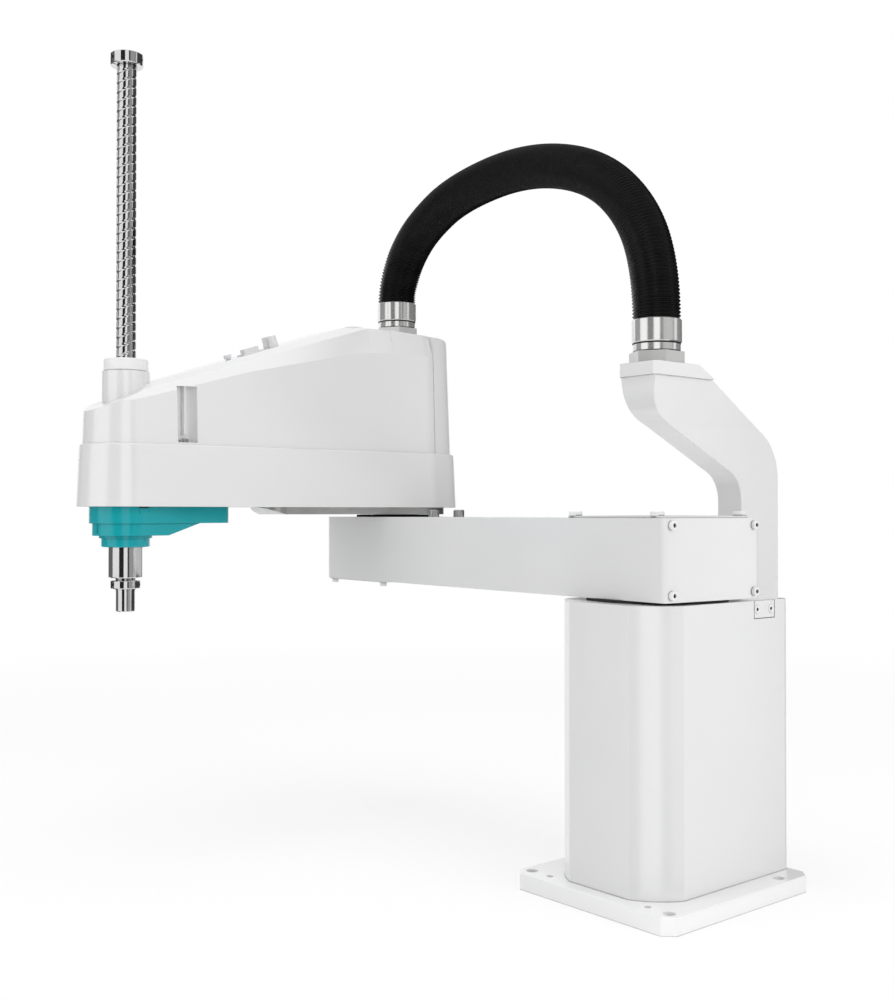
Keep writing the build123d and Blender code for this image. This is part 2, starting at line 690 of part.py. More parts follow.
def duct_form(inset):
    """The duct's solid form: its side outline and its front outline, each extruded and crossed."""
    nose = HEAD_FRONT - HEAD_LIP_STEP - inset
    front = duct_front - inset
    back = duct_back + inset
    top = DUCT_TOP - inset
    under = DUCT_BEND + inset / cos(radians(DUCT_UNDER_SLOPE))
    over = DUCT_TOP + HEAD_REAR * top_fall - inset / cos(radians(DUCT_TOP_SLOPE))
    corner_z = under + (nose - duct_front) * under_rise
    bend_z = under + (front - duct_front) * under_rise
    with BuildPart(mode=Mode.PRIVATE) as form:
        with BuildSketch(Plane.XZ) as side:
            with BuildLine():
                Polyline((front, DUCT_FOOT + inset), (front, bend_z), (nose, corner_z), (nose, top),
                         ((over - top) / -top_fall, top), (back, over + back * top_fall),
                         (back, DUCT_FOOT + inset), close=True)
            make_face()
            fillet(side.vertices().sort_by_distance((nose, corner_z))[0], HEAD_NOSE_RADIUS - inset)
            fillet(side.vertices().sort_by_distance((front, bend_z))[0], DUCT_BEND_RADIUS + inset)
            fillet(side.vertices().sort_by_distance((back, over + back * top_fall))[0],
                   DUCT_BACK_RADIUS - inset)
            if not inset:
                with Locations((HEAD_FRONT, DUCT_TOP)):
                    Rectangle(HEAD_FRONT, HEAD_LIP, align=(Align.MAX, Align.MAX))
        extrude(amount=HEAD_WIDTH / 2, both=True)
        with BuildSketch(Plane.YZ):
            with BuildLine():
                Polyline((0, DUCT_FOOT), (DUCT_WIDTH / 2 - inset, DUCT_FOOT),
                         (DUCT_WIDTH / 2 - inset, HEAD_FLARE_FROM),
                         (HEAD_NECK_WIDTH / 2 - inset, DUCT_TOP - HEAD_LIP))
                if inset:
                    Polyline((HEAD_NECK_WIDTH / 2 - inset, DUCT_TOP - HEAD_LIP),
                             (HEAD_NECK_WIDTH / 2 - inset, DUCT_TOP), (0, DUCT_TOP), (0, DUCT_FOOT))
                else:
                    Polyline((HEAD_NECK_WIDTH / 2, DUCT_TOP - HEAD_LIP),
                             (HEAD_WIDTH / 2, DUCT_TOP - HEAD_LIP), (HEAD_WIDTH / 2, DUCT_TOP),
                             (0, DUCT_TOP), (0, DUCT_FOOT))
            make_face()
            mirror(about=Plane.YZ)
        extrude(amount=2 * DUCT_TOP, both=True, mode=Mode.INTERSECT)
    return form.part


duct_outside = duct_form(0.0)
duct_inside = duct_form(DUCT_WALL)
duct_seat = Plane.XY.offset(DUCT_TOP)
bracket_face = spot(rear_face, 0, bracket_z)

with BuildPart() as riser_duct:
    add(duct_outside)
    lip_corners = riser_duct.edges().filter_by(Axis.Z).group_by(Axis.X)[-1]
    chamfer(lip_corners, HEAD_CORNER)
    with BuildSketch(bracket_face):
        RectangleRounded(BRACKET_WIDTH, BRACKET_HEIGHT, PANEL_CORNER)
    extrude(amount=BRACKET_THICK)
    add(duct_inside, mode=Mode.SUBTRACT)
    with BuildSketch(bracket_face):
        RectangleRounded(DUCT_WIDTH - 2 * DUCT_WALL, BRACKET_HEIGHT / 2, PANEL_CORNER)
    extrude(amount=2 * BRACKET_THICK, mode=Mode.SUBTRACT)
    add(bar(duct_seat, FITTING_BORE, -2 * DUCT_WALL), mode=Mode.SUBTRACT)
    add(bracket_holes, mode=Mode.SUBTRACT)
riser_duct.part.label = "riser_duct"
export_step(riser_duct.part, "parts/riser_duct.step")


# Swivel fittings of the conduit: a hexagonal base, a ring that turns in it and the conduit's nut

def hex_base(seat):
    with BuildPart(mode=Mode.PRIVATE) as piece:
        with BuildSketch(seat):
            RegularPolygon(HEX_FLATS / 2, 6, major_radius=False)
            Circle(FITTING_BORE / 2, mode=Mode.SUBTRACT)
        extrude(amount=HEX_HEIGHT)
        add(bar(spot(seat, 0, 0, HEX_HEIGHT), SPIGOT_D + 2 * RUN_GAP, -SPIGOT_DEPTH - RUN_GAP),
            mode=Mode.SUBTRACT)
    return piece.part


def swivel_ring(seat):
    start = spot(seat, 0, 0, HEX_HEIGHT + RUN_GAP)
    with BuildPart(mode=Mode.PRIVATE) as piece:
        add(bar(start, SWIVEL_D, SWIVEL_HEIGHT - RUN_GAP))
        chamfer(piece.edges().filter_by(GeomType.CIRCLE), NUT_EDGE)
        add(bar(spot(start, 0, 0, NUT_EDGE), SPIGOT_D, -SPIGOT_DEPTH - NUT_EDGE))
        add(bar(seat, FITTING_BORE, NUT_D), mode=Mode.SUBTRACT)
    return piece.part


def gland_nut(seat):
    with BuildPart(mode=Mode.PRIVATE) as piece:
        add(bar(spot(seat, 0, 0, HEX_HEIGHT + SWIVEL_HEIGHT), NUT_D, NUT_HEIGHT))
        chamfer(piece.edges().filter_by(GeomType.CIRCLE), NUT_EDGE)
        add(bar(seat, FITTING_BORE, NUT_D * 2), mode=Mode.SUBTRACT)
    return piece.part


roof_seat = spot(arm_2, 0, 0, FITTING_SEAT)

with BuildPart() as duct_hex_base:
    add(hex_base(duct_seat))
duct_hex_base.part.label = "duct_hex_base"
export_step(duct_hex_base.part, "parts/duct_hex_base.step")

with BuildPart() as duct_swivel:
    add(swivel_ring(duct_seat))
duct_swivel.part.label = "duct_swivel"
export_step(duct_swivel.part, "parts/duct_swivel.step")

with BuildPart() as duct_gland_nut:
    add(gland_nut(duct_seat))
duct_gland_nut.part.label = "duct_gland_nut"
export_step(duct_gland_nut.part, "parts/duct_gland_nut.step")

with BuildPart() as elbow_hex_base:
    add(hex_base(roof_seat))
elbow_hex_base.part.label = "elbow_hex_base"
export_step(elbow_hex_base.part, "parts/elbow_hex_base.step")

with BuildPart() as elbow_swivel:
    add(swivel_ring(roof_seat))
elbow_swivel.part.label = "elbow_swivel"
export_step(elbow_swivel.part, "parts/elbow_swivel.step")

with BuildPart() as elbow_gland_nut:
    add(gland_nut(roof_seat))
elbow_gland_nut.part.label = "elbow_gland_nut"
export_step(elbow_gland_nut.part, "parts/elbow_gland_nut.step")


# Conduit: straight runs joined by the largest tangent arcs that they allow

hose_radii = []
for before, here, after in zip(HOSE_ROUTE, HOSE_ROUTE[1:], HOSE_ROUTE[2:]):
    run_in = Vector(*here) - Vector(*before)
    run_out = Vector(*after) - Vector(*here)
    half_turn = radians(run_in.get_angle(run_out)) / 2
    hose_radii.append(ARC_SHARE * min(run_in.length, run_out.length) / tan(half_turn))
print("conduit corner radii, mm:", [round(radius) for radius in hose_radii])

with BuildPart() as hose_conduit:
    with BuildLine(upright(arm_1)) as hose_path:
        FilletPolyline(*HOSE_ROUTE, radius=hose_radii)
    with BuildSketch(duct_seat.offset(HOSE_ROUTE[0][1] - DUCT_TOP)):
        Circle(HOSE_D / 2)
        Circle(HOSE_D / 2 - HOSE_WALL, mode=Mode.SUBTRACT)
    sweep(path=hose_path.wire())
hose_conduit.part.label = "hose_conduit"
export_step(hose_conduit.part, "parts/hose_conduit.step")
hose_section = pi * (HOSE_D - HOSE_WALL) * HOSE_WALL
print("conduit length, mm:", round(hose_path.wire().length, 1),
      "volume over section times length:", round(hose_conduit.part.volume / hose_section
                                                 / hose_path.wire().length, 4))


# Inner arm

elbow_seat = spot(arm_1, ARM_1_LENGTH, 0, ARM_1_BOTTOM + ARM_1_HEIGHT)
elbow_foot = spot(arm_1, ARM_1_LENGTH, 0, ARM_1_BOTTOM)
shoulder_seat = spot(arm_1, 0, 0, ARM_1_BOTTOM + ARM_1_HEIGHT)
arm_1_end = spot(crosswise(arm_1, -ARM_1_REAR), 0, ARM_1_BOTTOM + ARM_1_HEIGHT / 2)
end_seats = [facing_down(seat) for seat in pattern(arm_1_end, END_SCREW_Y, END_SCREW_Z)]
top_seats = pattern(spot(shoulder_seat, 0, 0, TOP_COVER_THICK), COVER_SCREW_X, COVER_SCREW_Y)
bottom_seats = pattern(facing_down(spot(elbow_foot, 0, 0, -BOTTOM_COVER_THICK)), COVER_SCREW_X,
                       COVER_SCREW_Y)
stop_bolt_seats = [spot(elbow_seat, -STOP_BOLT_BACK, y)
                   for y in (-STOP_BOLT_SPACING / 2, STOP_BOLT_SPACING / 2)]
elbow_screws = ring_of(facing_down(spot(elbow_seat, 0, 0, -ARM_1_WALL)), ELBOW_STUB_D / 2 - FLANGE_SCREW_D,
                       FLANGE_SCREWS)
cover_drill = COVER_SCREW_D + SCREW_GAP
elbow_holes = drillings(elbow_screws, FLANGE_SCREW_D + SCREW_GAP, ARM_1_WALL + STUB_DEPTH)
end_holes = drillings(end_seats, END_SCREW_D + SCREW_GAP, END_COVER_THICK + 2 * ARM_1_WALL)
top_holes = drillings(top_seats, cover_drill, TOP_COVER_THICK + ARM_1_WALL)
bottom_holes = drillings(bottom_seats, cover_drill, BOTTOM_COVER_THICK + ARM_1_WALL)
stop_bolt_holes = drillings(stop_bolt_seats, STOP_BOLT_D + SCREW_GAP, ARM_1_WALL)
beam_length = ARM_1_REAR - END_COVER_THICK + ARM_1_LENGTH + ARM_1_TIP
beam_middle = spot(arm_1, beam_length / 2 - ARM_1_REAR + END_COVER_THICK, 0, ARM_1_BOTTOM)
end_boss = 2 * END_SCREW_D

with BuildPart() as arm_1_beam:
    with BuildSketch(beam_middle):
        Rectangle(beam_length, ARM_1_WIDTH)
    extrude(amount=ARM_1_HEIGHT)
    far_corners = arm_1_beam.edges().filter_by(Axis.Z).sort_by(Axis(arm_1.origin, arm_1.x_dir))[-2:]
    fillet(far_corners, ARM_1_CORNER)
    with BuildSketch(spot(arm_1_end, 0, 0, END_COVER_THICK)):
        RectangleRounded(ARM_1_WIDTH - 2 * ARM_1_WALL, ARM_1_HEIGHT - 2 * ARM_1_WALL, ARM_1_WALL)
    extrude(amount=beam_length - ARM_1_WALL, mode=Mode.SUBTRACT)
    with BuildSketch(spot(arm_1_end, 0, 0, END_COVER_THICK)):
        with GridLocations(END_SCREW_Y, END_SCREW_Z, 2, 2):
            Circle(end_boss / 2)
    extrude(amount=2 * ARM_1_WALL)
    with BuildSketch(shoulder_seat):
        RectangleRounded(HATCH_LENGTH, HATCH_LENGTH, ARM_1_WALL)
    extrude(amount=-ARM_1_WALL, mode=Mode.SUBTRACT)
    with BuildSketch(elbow_foot):
        RectangleRounded(HATCH_LENGTH, HATCH_LENGTH, ARM_1_WALL)
    extrude(amount=ARM_1_WALL, mode=Mode.SUBTRACT)
    add(shoulder_holes + elbow_holes + end_holes + top_holes + bottom_holes + stop_bolt_holes,
        mode=Mode.SUBTRACT)
arm_1_beam.part.label = "arm_1_beam"
export_step(arm_1_beam.part, "parts/arm_1_beam.step")

with BuildPart() as arm_1_end_cover:
    with BuildSketch(arm_1_end):
        Rectangle(ARM_1_WIDTH, ARM_1_HEIGHT)
    extrude(amount=END_COVER_THICK)
    outer_corners = arm_1_end_cover.edges().filter_by(Axis.Z).sort_by(Axis(arm_1.origin, arm_1.x_dir))[:2]
    fillet(outer_corners, END_COVER_THICK - ARM_1_EDGE / 2)
    add(end_holes, mode=Mode.SUBTRACT)
arm_1_end_cover.part.label = "arm_1_end_cover"
export_step(arm_1_end_cover.part, "parts/arm_1_end_cover.step")


def hatch_cover(seat, thick):
    with BuildPart(mode=Mode.PRIVATE) as piece:
        with BuildSketch(seat):
            RectangleRounded(TOP_COVER_LENGTH, TOP_COVER_LENGTH, ARM_1_EDGE * 2)
        extrude(amount=thick)
    return piece.part


with BuildPart() as arm_1_top_cover:
    add(hatch_cover(shoulder_seat, TOP_COVER_THICK))
    add(top_holes, mode=Mode.SUBTRACT)
arm_1_top_cover.part.label = "arm_1_top_cover"
export_step(arm_1_top_cover.part, "parts/arm_1_top_cover.step")

with BuildPart() as arm_1_bottom_cover:
    add(hatch_cover(facing_down(elbow_foot), BOTTOM_COVER_THICK))
    add(bottom_holes, mode=Mode.SUBTRACT)
arm_1_bottom_cover.part.label = "arm_1_bottom_cover"
export_step(arm_1_bottom_cover.part, "parts/arm_1_bottom_cover.step")

with BuildPart() as arm_1_cover_screws:
    add(cap_screws(end_seats, CAP_HEAD_D, CAP_HEAD, END_SCREW_D, END_COVER_THICK + ARM_1_WALL))
    add(cap_screws(top_seats, BIG_HEAD_D, BIG_HEAD, COVER_SCREW_D, TOP_COVER_THICK + ARM_1_WALL))
    add(cap_screws(bottom_seats, CAP_HEAD_D, CAP_HEAD, COVER_SCREW_D, BOTTOM_COVER_THICK + ARM_1_WALL))
arm_1_cover_screws.part.label = "arm_1_cover_screws"
export_step(arm_1_cover_screws.part, "parts/arm_1_cover_screws.step")

with BuildPart() as arm_1_flange_screws:
    add(cap_screws(shoulder_screws + elbow_screws, FLANGE_SCREW_D * HEAD_RATIO, FLANGE_SCREW_D,
                   FLANGE_SCREW_D, ARM_1_WALL + STUB_DEPTH))
arm_1_flange_screws.part.label = "arm_1_flange_screws"
export_step(arm_1_flange_screws.part, "parts/arm_1_flange_screws.step")

with BuildPart() as elbow_stop_bolts:
    add(cap_screws(stop_bolt_seats, STOP_BOLT_HEAD_D, STOP_BOLT_HEAD, STOP_BOLT_D, ARM_1_WALL))
elbow_stop_bolts.part.label = "elbow_stop_bolts"
export_step(elbow_stop_bolts.part, "parts/elbow_stop_bolts.step")

with BuildPart() as elbow_output_flange:
    add(bar(elbow_seat, ELBOW_FLANGE_D, ELBOW_GAP - RUN_GAP))
    add(bar(elbow_seat, ELBOW_STUB_D, ELBOW_GAP - RUN_GAP + STUB_DEPTH))
    add(elbow_holes, mode=Mode.SUBTRACT)
elbow_output_flange.part.label = "elbow_output_flange"
export_step(elbow_output_flange.part, "parts/elbow_output_flange.step")

with BuildPart() as elbow_seal_ring:
    add(bar(elbow_seat, ELBOW_SEAL_D, ELBOW_GAP - RUN_GAP, ELBOW_SEAL_D - 2 * ELBOW_SEAL_WALL))
elbow_seal_ring.part.label = "elbow_seal_ring"
export_step(elbow_seal_ring.part, "parts/elbow_seal_ring.step")


# Outer arm frame: boss, under-plate, main plate and the tower that carries the quill

skirt_foot = spot(arm_2, 0, 0, SKIRT_BOTTOM)
skirt_top = spot(arm_2, 0, 0, SKIRT_BOTTOM + SKIRT_HEIGHT)
quill_foot = spot(arm_2, ARM_2_LENGTH, 0, SKIRT_BOTTOM)
frame_top = spot(skirt_foot, 0, 0, FRAME_THICK)
roll_motor_x = ARM_2_LENGTH - ROLL_CENTRES
lift_motor_x = ARM_2_LENGTH - LIFT_CENTRES
roll_seat = spot(frame_top, roll_motor_x, 0)
lift_seat = spot(frame_top, lift_motor_x, 0)
frame_inset = COVER_WALL + FRAME_GAP
frame_oval = oval(skirt_foot, SKIRT_ELBOW_R - frame_inset, SKIRT_QUILL_R - frame_inset, ARM_2_LENGTH)
under_end = ARM_2_LENGTH - HOUSING_LENGTH - HOUSING_TIP_R - UNDER_GAP
under_oval = oval(skirt_foot, BOSS_D / 2, UNDER_TIP_R, under_end - UNDER_TIP_R)
tower_bore = BEARING_D + 2 * SHAFT_FIT
tower_low_bore = BEARING_D - 4 * TOWER_LEDGE

with BuildPart() as arm_2_frame:
    extrude(under_oval, amount=-UNDER_THICK + RUN_GAP)
    with BuildSketch(upright(arm_2)):
        with BuildLine():
            Polyline((under_end + RUN_GAP, SKIRT_BOTTOM), (under_end + RUN_GAP, SKIRT_BOTTOM - UNDER_THICK),
                     (under_end - UNDER_END_SLOPE, SKIRT_BOTTOM - UNDER_THICK), close=True)
        make_face()
    extrude(amount=BOSS_D / 2, both=True, mode=Mode.SUBTRACT)
    extrude(frame_oval, amount=FRAME_THICK)
    add(bar(quill_foot, TOWER_D, TOWER_TOP - SKIRT_BOTTOM))
    add(bar(quill_foot, tower_low_bore, TOWER_TOP - SKIRT_BOTTOM), mode=Mode.SUBTRACT)
    add(bar(spot(quill_foot, 0, 0, TOWER_LEDGE), tower_bore, TOWER_TOP - SKIRT_BOTTOM), mode=Mode.SUBTRACT)
    add(bar(frame_top, ELBOW_DRIVE_D + 2 * RUN_GAP, -FRAME_THICK - UNDER_THICK), mode=Mode.SUBTRACT)
    add(bar(roll_seat, 2 * ROLL_MOTOR_SHAFT_D, -FRAME_THICK), mode=Mode.SUBTRACT)
arm_2_frame.part.label = "arm_2_frame"
export_step(arm_2_frame.part, "parts/arm_2_frame.step")

drive_foot = spot(elbow_seat, 0, 0, ELBOW_GAP)
drive_head = spot(drive_foot, 0, 0, ELBOW_DRIVE_HEIGHT)

with BuildPart() as elbow_reducer:
    add(bar(drive_foot, ELBOW_DRIVE_D, ELBOW_DRIVE_HEIGHT))
    add(bar(frame_top, ELBOW_DRIVE_LIP_D, DRIVE_LIP))
    add(bar(drive_foot, ELBOW_STUB_D + 2 * RUN_GAP, STUB_DEPTH + RUN_GAP), mode=Mode.SUBTRACT)
elbow_reducer.part.label = "elbow_reducer"
export_step(elbow_reducer.part, "parts/elbow_reducer.step")

with BuildPart() as elbow_motor:
    add(servo_motor(Plane(drive_head.origin, x_dir=arm_2.x_dir, z_dir=arm_2.z_dir),
                    ELBOW_MOTOR_SIDE, ELBOW_MOTOR_HEIGHT))
elbow_motor.part.label = "elbow_motor"
export_step(elbow_motor.part, "parts/elbow_motor.step")


# Lower cover: a drafted skirt with a shelf that carries the upper cover

skirt_outer = oval(skirt_foot, SKIRT_ELBOW_R, SKIRT_QUILL_R, ARM_2_LENGTH)
skirt_inner = oval(skirt_foot, SKIRT_ELBOW_R - COVER_WALL, SKIRT_QUILL_R - COVER_WALL, ARM_2_LENGTH)
cover_mouth = oval(skirt_foot, COVER_ELBOW_R - 2 * COVER_WALL, COVER_QUILL_R - 2 * COVER_WALL, ARM_2_LENGTH)

with BuildPart() as arm_2_lower_cover:
    extrude(skirt_outer, amount=SKIRT_HEIGHT, taper=SKIRT_DRAFT)
    rims = arm_2_lower_cover.edges().group_by(Axis.Z)
    fillet(rims[-1], SKIRT_EDGE)
    extrude(skirt_inner, amount=SKIRT_HEIGHT - COVER_WALL, taper=SKIRT_DRAFT, mode=Mode.SUBTRACT)
    extrude(cover_mouth, amount=SKIRT_HEIGHT, mode=Mode.SUBTRACT)
arm_2_lower_cover.part.label = "arm_2_lower_cover"
export_step(arm_2_lower_cover.part, "parts/arm_2_lower_cover.step")


# Upper cover: a drafted wall, a crested roof and bevels between them

cover_lean = asin((COVER_ELBOW_R - COVER_QUILL_R) / ARM_2_LENGTH)
roof_fall = (CREST_Z - ROOF_FRONT_Z) / (ARM_2_LENGTH - CREST_X)
nose_fall = tan(radians(NOSE_SLOPE))


def wall_y(along, height, inset):
    """Half the cover's width at a distance out from the elbow and at a height."""
    root = COVER_ELBOW_R - inset - (height - SKIRT_BOTTOM - SKIRT_HEIGHT) * tan(radians(COVER_DRAFT))
    return (root - along * sin(cover_lean)) / cos(cover_lean)


def roof_z(along, inset):
    """The height of the roof's two slopes, before the crest is rounded."""
    fall = tan(radians(ROOF_FALL)) * (CREST_X - along)
    return CREST_Z - inset - (fall if along < CREST_X else (along - CREST_X) * roof_fall)


def bevel_section(along, crease, inset):
    """What the bevels take off one side of the cover, seen along the arm."""
    edge_z = MID_EDGE_Z - inset - max(along - MID_EDGE_X, 0) * tan(radians(MID_EDGE_SLOPE))
    edge_y = wall_y(along, edge_z, inset) - BEVEL_INSET
    top_y = edge_y - BEVEL_SHOULDER
    sky = CREST_Z + 2 * BEVEL_SHOULDER
    side = SKIRT_ELBOW_R + BEVEL_SHOULDER
    with BuildSketch(crosswise(arm_2, along), mode=Mode.PRIVATE) as section:
        with BuildLine():
            Polyline((wall_y(along, crease - inset, inset), crease - inset), (edge_y, edge_z),
                     (top_y, roof_z(along, inset)), (top_y, sky), (side, sky), (side, crease - inset),
                     close=True)
        make_face()
    return section.sketch


def cover_form(inset):
    """The upper cover's solid form, a wall's thickness inside the outer one if there is an inset."""
    wall = oval(skirt_top, COVER_ELBOW_R - inset, COVER_QUILL_R - inset, ARM_2_LENGTH)
    crease_r = wall_y(0, BEVEL_CREASE - inset, inset) * cos(cover_lean)
    crease_plane = spot(arm_2, 0, 0, BEVEL_CREASE - inset)
    shoulder = oval(crease_plane, crease_r, crease_r - (COVER_ELBOW_R - COVER_QUILL_R), ARM_2_LENGTH)
    far = ARM_2_LENGTH + SKIRT_QUILL_R
    near = -SKIRT_ELBOW_R
    with BuildPart(mode=Mode.PRIVATE) as rear_block:
        with BuildSketch(crease_plane):
            with Locations((CREASE_LINE[0][0], 0)):
                Rectangle(2 * SKIRT_ELBOW_R, 4 * SKIRT_ELBOW_R, align=(Align.MAX, Align.CENTER))
        extrude(amount=CREST_Z - BEVEL_CREASE)
        extrude(shoulder, amount=CREST_Z - BEVEL_CREASE, taper=BEVEL_ANGLE, mode=Mode.SUBTRACT)
    step_x = ARM_2_LENGTH - NOSE_STEP
    with BuildPart(mode=Mode.PRIVATE) as nose_block:
        with BuildSketch(upright(arm_2)):
            with BuildLine():
                Polyline((step_x, roof_z(step_x, inset)), (ARM_2_LENGTH, NOSE_Z - inset),
                         (far, NOSE_Z - inset - (far - ARM_2_LENGTH) * nose_fall), (far, CREST_Z),
                         (step_x, CREST_Z), close=True)
            make_face()
        extrude(amount=2 * SKIRT_ELBOW_R, both=True)
    with BuildPart(mode=Mode.PRIVATE) as side_block:
        for along, crease in CREASE_LINE:
            add(bevel_section(along, crease, inset))
        loft(ruled=True)
        mirror(about=upright(arm_2))
    with BuildPart(mode=Mode.PRIVATE) as form:
        extrude(wall, amount=CREST_Z - SKIRT_BOTTOM - SKIRT_HEIGHT, taper=COVER_DRAFT)
        with BuildSketch(upright(arm_2)) as profile:
            with BuildLine():
                Polyline((near, skirt_top.origin.Z), (near, roof_z(near, inset)),
                         (CREST_X, roof_z(CREST_X, inset)), (far, roof_z(far, inset)),
                         (far, skirt_top.origin.Z), close=True)
            make_face()
            crest = profile.vertices().sort_by_distance((CREST_X, roof_z(CREST_X, inset)))[0]
            fillet(crest, CREST_RADIUS)
        extrude(amount=2 * SKIRT_ELBOW_R, both=True, mode=Mode.INTERSECT)
        add([rear_block.part, side_block.part, nose_block.part], mode=Mode.SUBTRACT)
    return form.part


cover_outside = cover_form(0.0)
cover_inside = cover_form(COVER_WALL)
guard_foot = spot(arm_2, ARM_2_LENGTH, 0, GUARD_BOTTOM)
guard_top = spot(arm_2, ARM_2_LENGTH, 0, GUARD_TOP)
guard_bore = GUARD_D - 2 * GUARD_WALL
pad_foot = spot(arm_2, 0, 0, FITTING_SEAT - FITTING_PAD)
recess_x = ARM_2_LENGTH - RECESS_BACK
recess_y = wall_y(recess_x, RECESS_TOP, 0.0)
recess_seats = [spot(skirt_top, recess_x, y, COVER_WALL) for y in (-recess_y, recess_y)]
recess_screws = [spot(skirt_top, recess_x, y, COVER_WALL)
                 for y in (RECESS_R / 2 - recess_y, recess_y - RECESS_R / 2)]
recess_holes = drillings(recess_screws, RECESS_SCREW_D + SCREW_GAP, 2 * COVER_WALL)


def roof_spot(along, across):
    """A seat on the front slope of the roof, facing out of it."""
    slope = atan(roof_fall)
    down = arm_2.x_dir * cos(slope) - Vector(0, 0, sin(slope))
    up = arm_2.x_dir * sin(slope) + Vector(0, 0, cos(slope))
    return Plane(arm_2.from_local_coords((along, across, roof_z(along, 0.0))), x_dir=down, z_dir=up)


button_seat = roof_spot(BUTTON_X, ROOF_SIDE)
connector_seat = roof_spot(CONNECTOR_X, ROOF_SIDE)
air_port_seats = [roof_spot(AIR_PORT_X, ROOF_SIDE + y)
                  for y in (-AIR_PORT_SPACING / 2, AIR_PORT_SPACING / 2)]

with BuildPart() as recess_bosses:
    for seat in recess_seats:
        add(bar(spot(seat, 0, 0, -COVER_WALL), 2 * (RECESS_R + COVER_WALL),
                RECESS_TOP + COVER_WALL - skirt_top.origin.Z))
    add(cover_outside, mode=Mode.INTERSECT)

with BuildPart() as recess_ribs:
    for seat in recess_seats:
        add(bar(spot(seat, 0, 0, RECESS_RIB_LIFT), 2 * RECESS_R + COVER_WALL,
                RECESS_TOP - seat.origin.Z - RECESS_RIB_LIFT))
    with BuildSketch(spot(skirt_top, recess_x, 0)):
        Rectangle(RECESS_RIB, 2 * (recess_y - RECESS_RIB_DEPTH))
    extrude(amount=RECESS_TOP - skirt_top.origin.Z, mode=Mode.INTERSECT)

with BuildPart() as arm_2_upper_cover:
    add(cover_outside)
    add(cover_inside, mode=Mode.SUBTRACT)
    add(recess_bosses.part)
    with BuildSketch(skirt_top):
        with Locations((-COVER_REAR, 0)):
            Rectangle(SKIRT_ELBOW_R, 2 * SKIRT_ELBOW_R, align=(Align.MAX, Align.CENTER))
    extrude(amount=CREST_Z - skirt_top.origin.Z, mode=Mode.SUBTRACT)
    for seat in recess_seats:
        add(bar(seat, 2 * RECESS_R, RECESS_TOP - seat.origin.Z), mode=Mode.SUBTRACT)
    add(recess_ribs.part)
    add(bar(guard_foot, GUARD_D, GUARD_TOP - GUARD_BOTTOM))
    add(bar(guard_foot, guard_bore, GUARD_TOP - GUARD_BOTTOM), mode=Mode.SUBTRACT)
    add(bar(pad_foot, FITTING_PAD_D, FITTING_SEAT - pad_foot.origin.Z))
    add(bar(pad_foot, FITTING_BORE, FITTING_SEAT - pad_foot.origin.Z), mode=Mode.SUBTRACT)
    add(bar(roof_seat, FITTING_PAD_D, CREST_Z - FITTING_SEAT), mode=Mode.SUBTRACT)
    add(recess_holes, mode=Mode.SUBTRACT)
    add(drillings([button_seat], BUTTON_STEM_D + 2 * RUN_GAP, 2 * COVER_WALL), mode=Mode.SUBTRACT)
arm_2_upper_cover.part.label = "arm_2_upper_cover"
export_step(arm_2_upper_cover.part, "parts/arm_2_upper_cover.step")

with BuildPart() as rear_outside:
    with BuildSketch(skirt_top):
        Circle(REAR_COVER_R)
    extrude(amount=REAR_COVER_TOP - skirt_top.origin.Z, taper=COVER_DRAFT)
    fillet(rear_outside.edges().filter_by(GeomType.CIRCLE).sort_by(Axis.Z)[-1], REAR_COVER_EDGE)

# The rear cover's front rim closes the step between it and the upper cover's bevels.
with BuildPart() as rear_rim:
    with BuildSketch(crosswise(arm_2, -COVER_REAR - RUN_GAP)):
        Rectangle(2 * SKIRT_ELBOW_R, 2 * CREST_Z)
    extrude(amount=-COVER_WALL)
    add(rear_outside.part, mode=Mode.INTERSECT)
    add(cover_inside, mode=Mode.SUBTRACT)

with BuildPart() as arm_2_rear_cover:
    add(rear_outside.part)
    with BuildSketch(skirt_top):
        Circle(REAR_COVER_R - COVER_WALL)
    extrude(amount=REAR_COVER_TOP - COVER_WALL - skirt_top.origin.Z, taper=COVER_DRAFT, mode=Mode.SUBTRACT)
    with BuildSketch(skirt_top):
        with Locations((-COVER_REAR - RUN_GAP, 0)):
            Rectangle(2 * SKIRT_ELBOW_R, 2 * SKIRT_ELBOW_R, align=(Align.MIN, Align.CENTER))
    extrude(amount=CREST_Z - skirt_top.origin.Z, mode=Mode.SUBTRACT)
    add(rear_rim.part)
    add(bar(pad_foot, FITTING_PAD_D + 2 * RUN_GAP, REAR_COVER_TOP - pad_foot.origin.Z), mode=Mode.SUBTRACT)
arm_2_rear_cover.part.label = "arm_2_rear_cover"
export_step(arm_2_rear_cover.part, "parts/arm_2_rear_cover.step")

with BuildPart() as arm_2_cover_screws:
    add(cap_screws(recess_screws, CAP_HEAD_D, CAP_HEAD, RECESS_SCREW_D, 2 * COVER_WALL))
arm_2_cover_screws.part.label = "arm_2_cover_screws"
export_step(arm_2_cover_screws.part, "parts/arm_2_cover_screws.step")

with BuildPart() as shaft_guard_cap:
    add(bar(guard_top, GUARD_CAP_D, GUARD_CAP_HEIGHT))
    chamfer(shaft_guard_cap.edges().filter_by(GeomType.CIRCLE).sort_by(Axis.Z)[-1], NUT_EDGE)
    add(bar(guard_top, guard_bore - 2 * RUN_GAP, -GUARD_CAP_SPIGOT))
    add(bar(spot(guard_top, 0, 0, -GUARD_CAP_SPIGOT), SHAFT_D + 4 * RUN_GAP, 2 * GUARD_CAP_HEIGHT),
        mode=Mode.SUBTRACT)
shaft_guard_cap.part.label = "shaft_guard_cap"
export_step(shaft_guard_cap.part, "parts/shaft_guard_cap.step")


# Things that stand on the sloping roof

